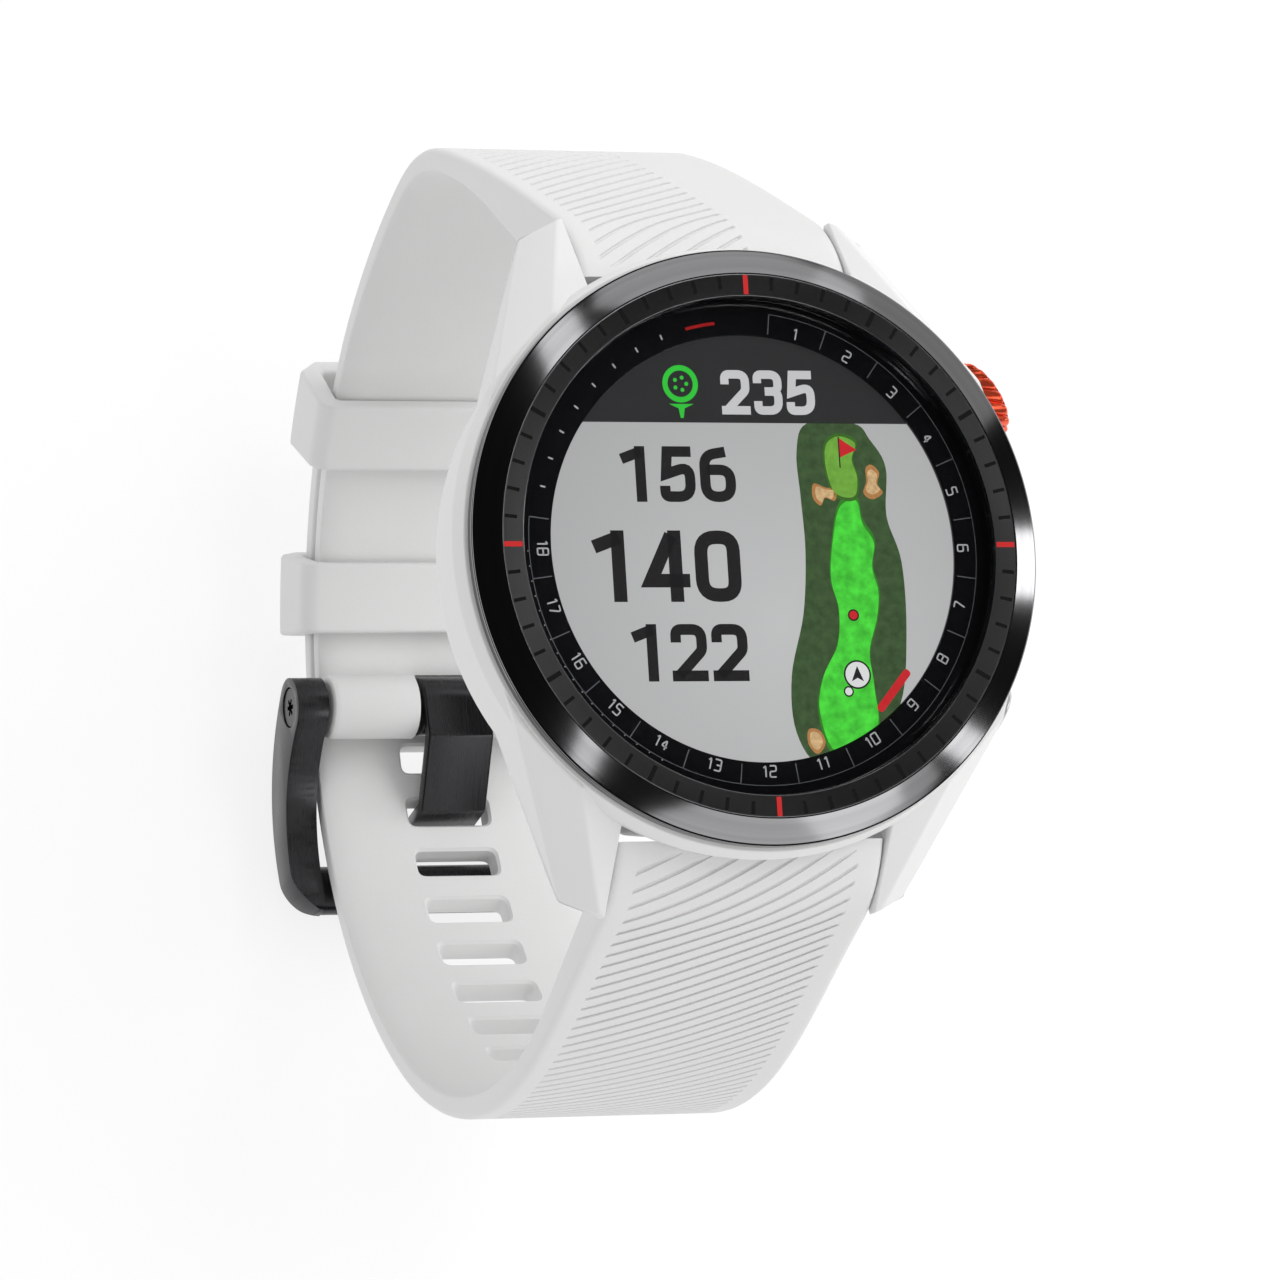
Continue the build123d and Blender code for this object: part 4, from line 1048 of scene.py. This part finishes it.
def at_station(stations, s):
    """Outer and inner point at a distance along the outer face."""
    low, high = 0, len(stations) - 1
    while high - low > 1:
        middle = (low + high) // 2
        if stations[middle][0] <= s:
            low = middle
        else:
            high = middle
    t = (s - stations[low][0]) / (stations[high][0] - stations[low][0])
    return stations[low][1].lerp(stations[high][1], t), stations[low][2].lerp(stations[high][2], t)


def strap_section(grooves):
    """Cross-section, clockwise from the outer left: (x, depth from the outer or the inner face)."""
    flat = STRAP_HALF - OUTER_EDGE_R
    marks = {-flat, flat}
    for edge, sign in ((grooves["left"], 1), (grooves["right"], -1)):
        marks.update((edge, edge + sign * EDGE_RAMP * 0.5, edge + sign * EDGE_RAMP))
    marks = sorted(marks)
    outer_x = []
    for a, b in zip(marks, marks[1:]):
        steps = max(1, math.ceil((b - a) / FACE_STEP))
        outer_x += [a + (b - a) * k / steps for k in range(steps)]
    section = [(x, 0.0, "outer") for x in outer_x + [flat]]
    for k in range(1, 5):
        a = math.pi / 2 * k / 4
        section.append((flat + OUTER_EDGE_R * math.sin(a), OUTER_EDGE_R * (1 - math.cos(a)), "outer"))
    width, depth = INNER_EDGE
    inner_flat = STRAP_HALF - width
    for k in range(6):
        a = math.pi / 2 * (1 - k / 6)
        section.append((inner_flat + width * math.sin(a), depth * (1 - math.cos(a)), "inner"))
    section += [(inner_flat * (1 - k / 4), 0.0, "inner") for k in range(9)]
    for k in range(5, -1, -1):
        a = math.pi / 2 * (1 - k / 6)
        section.append((-inner_flat - width * math.sin(a), depth * (1 - math.cos(a)), "inner"))
    for k in range(4, 0, -1):
        a = math.pi / 2 * k / 4
        section.append((-flat - OUTER_EDGE_R * math.sin(a), OUTER_EDGE_R * (1 - math.cos(a)), "outer"))
    return section


def strap_bench(half):
    """Rings that follow the grooves' slant, so that every groove is cut along mesh rows."""
    g = half["grooves"]
    stations = strap_stations(half)
    length = stations[-1][0]
    section = strap_section(g)
    rows = []
    for k in range(g["from"], g["to"] + 1):
        rows += [(k + f, d) for f, d in GROOVE] if k <= g["grooved_to"] else [(k - 0.5, 0), (k, 0)]
    bm = bmesh.new()
    rings = []
    for count, cut in rows:
        steady = min(count, g["steady"])
        late_pitch = g["pitch"] + 2 * g["growth"] * g["steady"]
        base = g["first"] + g["pitch"] * steady + g["growth"] * steady ** 2 + late_pitch * (count - steady)
        lean = g["lean"] + g["lean_growth"] * max(0, min(count, 20))
        ring = []
        for x, depth, face in section:
            off = x - g["middle"]
            s = min(length, max(0.0, base + lean * off + g["bow"] * off * off))
            o, n = at_station(stations, s)
            through = (n - o).normalized()
            if face == "outer":
                ramp = min(1, max(0, (x - g["left"]) / EDGE_RAMP), max(0, (g["right"] - x) / EDGE_RAMP))
                fade = min(1, max(0, s - FADE_IN)) * min(1, max(0, (g["last"] - s) / FADE_OUT))
                p = o + through * (depth + GROOVE_DEPTH * cut * ramp * fade)
            else:
                p = n - through * min(depth, (n - o).length - OUTER_EDGE_R)
            rest, tip_r = length - s, half["tip_r"]
            if rest < tip_r:
                shrink = tip_r - math.sqrt(max(0, tip_r ** 2 - (tip_r - rest) ** 2))
                x *= (STRAP_HALF - shrink) / STRAP_HALF
            ring.append(bm.verts.new((x, p.x, p.y)))
        rings.append(ring)
    count = len(section)
    for here, after in zip(rings, rings[1:]):
        for i in range(count):
            bm.faces.new((here[i], after[i], after[(i + 1) % count], here[(i + 1) % count]))
    bm.faces.new(rings[0])
    bm.faces.new(rings[-1][::-1])
    bmesh.ops.remove_doubles(bm, verts=bm.verts, dist=2e-4)
    bmesh.ops.dissolve_degenerate(bm, edges=bm.edges, dist=2e-4)
    return bm


def along_x(y, z):
    """Frame whose +Z runs along +X through (y, z)."""
    return Matrix.Translation((0, y, z)) @ Matrix.Rotation(math.pi / 2, 4, "Y")


def slot_cutter():
    """One tongue slot with its broken rims, centred on the strap's thickness, along +Z."""
    wide, long = SLOT_SIZE
    half_t, past = STRAP_T / 2, 0.02
    bm = bmesh.new()
    rings = []
    for z, grow_by in ((-3.0, SLOT_RIM), (-half_t - past, SLOT_RIM), (-half_t + SLOT_RIM, 0),
                       (half_t - SLOT_RIM, 0), (half_t + past, SLOT_RIM), (3.0, SLOT_RIM)):
        x, y = wide / 2 + grow_by, long / 2 + grow_by
        outline = rounded(rectangle(-x, x, -y, y), SLOT_CORNER + grow_by, 5)
        rings.append([bm.verts.new((p[0], p[1], z)) for p in outline])
    for here, after in zip(rings, rings[1:]):
        band(bm, here, after)
    bm.faces.new(rings[0][::-1])
    bm.faces.new(rings[-1])
    return to_object("slot_cutter", bm)


def slot_row_tree():
    """Geometry Nodes: copies of one cutter round an arc about the X direction."""
    tree, g = pattern_tree("slot_row", {
        "Cutter": "Object", "Count": "Int", "Radius": "Float", "First angle": "Float",
        "Pitch angle": "Float", "Axis y": "Float", "Axis z": "Float"})
    index = node(tree, "GeometryNodeInputIndex").outputs[0]
    angle = maths(tree, "ADD", g["First angle"], maths(tree, "MULTIPLY", index, g["Pitch angle"]))
    sideways, down = (maths(tree, "MULTIPLY", g["Radius"], maths(tree, way, angle))
                      for way in ("SINE", "COSINE"))
    place = place_at(tree, Y=maths(tree, "ADD", g["Axis y"], sideways),
                     Z=maths(tree, "SUBTRACT", g["Axis z"], down))
    points = node(tree, "GeometryNodePoints", {"Count": g["Count"], "Position": place})
    cutter = node(tree, "GeometryNodeObjectInfo", {"Object": g["Cutter"]})
    copies = node(tree, "GeometryNodeInstanceOnPoints", {
        "Points": points.outputs[0], "Instance": cutter.outputs["Geometry"],
        "Rotation": place_at(tree, X=angle)})
    return end_pattern(tree, g, copies)


def slider_pocket(half):
    """The sunk rectangle that the release slider lies in, on the inner face beside the lugs."""
    arcs = half["shared"] + [half["inner"]]
    middle = arc_chain(half["start"], arcs, 0.0)[-1]
    turn = math.radians(half["start"] + sum(sweep for _, sweep in arcs))
    heading = Vector((-math.sin(turn), math.cos(turn))) * half["side"]
    middle = middle + heading * half["run"] * POCKET_PLACE
    into = Vector((-heading.y, heading.x))
    into *= 1 if into.x * middle.x > 0 else -1
    place = Matrix(((1, 0, 0, 0), (0, heading.x, into.x, middle.x), (0, heading.y, into.y, middle.y),
                    (0, 0, 0, 1)))
    x, y = POCKET[0] / 2, POCKET[1] / 2
    outline = rounded(rectangle(-x, x, -y, y), POCKET_CORNER, 5)
    return to_object("pocket", prism(bmesh.new(), outline, -1.0, POCKET[2], place))


silicone = moulded("strap_silicone", (0.80, 0.80, 0.795), 0.60, 0.13, 0.014)
upper_half = to_object("strap_upper_half", strap_bench(STRAPS["12"]))
barrel = rounded(rectangle(0, BULGE_R, -STRAP_HALF, STRAP_HALF), [0, 0.6, 0.6, 0], 4)
bulge = lathe(bmesh.new(), barrel, 64, along_x(BAR_Y, BAR_Z))
combine(upper_half, to_object("bulge", bulge), "UNION")
notch = prism(bmesh.new(), rounded(rectangle(*NOTCH), [0, 0, NOTCH_CORNER, NOTCH_CORNER], 5), *NOTCH_HEIGHTS)
combine(upper_half, to_object("notch", notch), "DIFFERENCE")
bar_hole = prism(bmesh.new(), circle(BAR_HOLE_R, 48), -STRAP_HALF - 1, STRAP_HALF + 1, along_x(BAR_Y, BAR_Z))
combine(upper_half, to_object("bar_hole", bar_hole), "DIFFERENCE")
combine(upper_half, slider_pocket(STRAPS["12"]), "DIFFERENCE")
fit(upper_half, "root", "strap_silicone", silicone, "strap_12", smooth=28)

lower_half = to_object("strap_lower_half", strap_bench(STRAPS["6"]))
cutter = slot_cutter()
slots = grow("slots", slot_row_tree(), {
    "Cutter": cutter, "Count": SLOT_COUNT, "Radius": (SEAM_R + STRAP_T / 2) * MM,
    "First angle": math.radians(SLOT_FIRST), "Pitch angle": math.radians(SLOT_PITCH),
    "Axis y": LOOP_Y * MM, "Axis z": LOOP_Z * MM, "Material": silicone})
bpy.data.objects.remove(cutter)
combine(lower_half, slots, "DIFFERENCE")
combine(lower_half, slider_pocket(STRAPS["6"]), "DIFFERENCE")
fit(lower_half, "root", "strap_silicone", silicone, "strap_6", smooth=28)


# ---- keepers -------------------------------------------------------------------------------------
# Two moulded silicone bands with bevelled outer corners.  They are threaded on the short half, and
# hold the long half's tail down.
KEEPER_WIDTH, KEEPER_HALF, KEEPER_GAP = 6.5, 13.0, 0.2
KEEPER_OUTER_T, KEEPER_INNER_T, KEEPER_BEVEL, KEEPER_TUCK = 1.8, 1.5, 1.7, 0.9
KEEPER_WINDOW_CORNER, KEEPER_STEPS, KEEPER_EDGE = 0.3, 10, 0.32
KEEPER_ROUNDING = [1.6, 0.5, 0.5, 0.5, 0.5, 1.6, 1.6, 1.6]
KEEPER_ANGLES = {"upper": 35.5, "lower": 12.5}


def keeper_bench(degrees):
    """The band's frame-shaped section, swept a few degrees about the loop's axis."""
    inner_r = SEAM_R - HALF_GAP - STRAP_T - KEEPER_GAP
    outer_r = SEAM_R + STRAP_T + KEEPER_GAP
    low, high = inner_r - KEEPER_INNER_T, outer_r + KEEPER_OUTER_T
    h, b, t = KEEPER_HALF, KEEPER_BEVEL, KEEPER_TUCK
    outside = [(h, low + t), (h, high - b), (h - b, high), (-h + b, high), (-h, high - b), (-h, low + t),
               (-h + t, low), (h - t, low)]
    w, c = STRAP_HALF + KEEPER_GAP, KEEPER_WINDOW_CORNER
    window = [(w, inner_r + c), (w, outer_r - c), (w - c, outer_r), (-w + c, outer_r),
              (-w, outer_r - c), (-w, inner_r + c), (-w + c, inner_r), (w - c, inner_r)]
    section = [rounded(outside, KEEPER_ROUNDING, 5), rounded(window, 0.25, 5)]
    span = math.degrees(KEEPER_WIDTH / SEAM_R)
    bm = bmesh.new()
    stations = []
    for k in range(KEEPER_STEPS + 1):
        a = math.radians(degrees - span / 2 + span * k / KEEPER_STEPS)
        stations.append([[bm.verts.new((p[0], LOOP_Y + p[1] * math.sin(a), LOOP_Z - p[1] * math.cos(a)))
                          for p in loop] for loop in section])
    for here, after in zip(stations, stations[1:]):
        band(bm, here[0], after[0])
        band(bm, after[1], here[1])
    for outer_loop, window_loop in (stations[0], stations[-1]):
        band(bm, outer_loop, window_loop)
    return bm


for name, degrees in KEEPER_ANGLES.items():
    keeper = to_object("keeper_band_" + name, keeper_bench(degrees))
    soften_edges(keeper, KEEPER_EDGE, 48)
    fit(keeper, "keeper_" + name, "strap_silicone", silicone, "keeper_" + name, smooth=40)


# ---- buckle --------------------------------------------------------------------------------------
# Stamped and machined steel with a black vapour coating, brushed along its length.  The frame and the
# tongue turn on one bar, which is held by a screw at each end.
BUCKLE_EDGES = {"frame": ("buckle_frame_bar", 0.35), "tongue": ("buckle_tongue_plate", 0.18)}


def bench_copy(name, label):
    """A clean copy of a designed solid, for edge work."""
    bm = bmesh.new()
    bm.from_mesh(frame["nodes"][label].data)
    bmesh.ops.remove_doubles(bm, verts=bm.verts, dist=1e-6)
    bmesh.ops.dissolve_limit(bm, angle_limit=math.radians(0.5), verts=bm.verts, edges=bm.edges)
    bmesh.ops.recalc_face_normals(bm, faces=bm.faces)
    mesh = bpy.data.meshes.new(name)
    bm.to_mesh(mesh)
    bm.free()
    return link(name, mesh)


buckle_black = metal("buckle_black", (0.055, 0.055, 0.058), 0.27, 0.12, 0.004, (1.0, 0.03, 0.03), 0.9)
for part, (name, edge) in BUCKLE_EDGES.items():
    label = "buckle_" + part
    softened = soften_edges(bench_copy(name, label), edge, 40)
    fit(softened, label, "buckle_black", buckle_black, label, smooth=35)


# ---- pins, back and inside -----------------------------------------------------------------------
# The designed solids that show only from behind or not at all: pins, sliders, screws, the case back
# and its sensor window, and the modules on their tray.  Each keeps its shape and takes its material.
SENSOR_R, PRINT_RING_R, PRINT_RING_HALF = 0.0042, 0.0070, 0.00018      # metres


def board_material():
    """Green solder mask over fine copper tracks."""
    material, tree = new_material("circuit_board")
    cells = node(tree, "ShaderNodeTexVoronoi", {"Vector": coords_of(tree), "Scale": 900.0}, feature="F1",
                 distance="MANHATTAN")
    tracks = spread_to(tree, cells.outputs["Distance"], 0.0, 1.0, 0.35, 0.45)
    show_surface(tree, {"Base Color": colours(tree, tracks, (0.01, 0.075, 0.03), (0.03, 0.16, 0.07)),
                        "Roughness": 0.35})
    return material


def window_material():
    """Smoked window, with one printed ring round the sensor's reddish middle."""
    material, tree = new_material("sensor_glass")
    radius = axis_distance(tree)
    middle = maths(tree, "LESS_THAN", radius, SENSOR_R)
    line = maths(tree, "COMPARE", radius, PRINT_RING_R, PRINT_RING_HALF)
    mask = maths(tree, "MAXIMUM", middle, line)
    show_surface(tree, {"Base Color": colours(tree, mask, (0.010, 0.010, 0.012), (0.045, 0.012, 0.012)),
                        "Roughness": 0.06, "Coat Weight": 0.5})
    return material


CARRIED = {
    "inner_plastic": moulded("inner_plastic", (0.03, 0.03, 0.032), 0.5, 0.12, 0.006),
    "circuit_board": board_material(),
    "screw_steel": metal("screw_steel", (0.60, 0.60, 0.62), 0.28, 0.15, 0.0006, vary=0.08),
    "battery_foil": metal("battery_foil", (0.34, 0.35, 0.37), 0.42, 1.2, 0.03, vary=0.06),
    "antenna_ceramic": moulded("antenna_ceramic", (0.66, 0.58, 0.44), 0.45, 0.10, 0.004),
    "sensor_glass": window_material(),
    "back_polymer": moulded("back_polymer", (0.72, 0.72, 0.715), 0.5, 0.16, 0.010),
    "seal_rubber": moulded("seal_rubber", (0.02, 0.02, 0.02), 0.65, 0.10, 0.004),
    "contact_gold": metal("contact_gold", (0.83, 0.60, 0.26), 0.22, 0.10, 0.0004, vary=0.06),
    "slider_steel": metal("slider_steel", (0.56, 0.56, 0.57), 0.30, 0.12, 0.0008, (0.1, 1, 1)),
    "buckle_black": buckle_black,
}
SLOT_OF = {entry["node"]: entry["material_slot"] for entry in frame["record"]["subparts"]}
STOOD_IN = {"case", "bezel", "front_lens", "dial_ring", "display_panel", "strap_12", "strap_6",
            "keeper_upper", "keeper_lower", "buckle_frame", "buckle_tongue", "button_upper",
            "button_middle", "button_lower"}
for label, solid in frame["nodes"].items():
    if label not in STOOD_IN:
        solid.material_slots[0].material = CARRIED[SLOT_OF[label]]
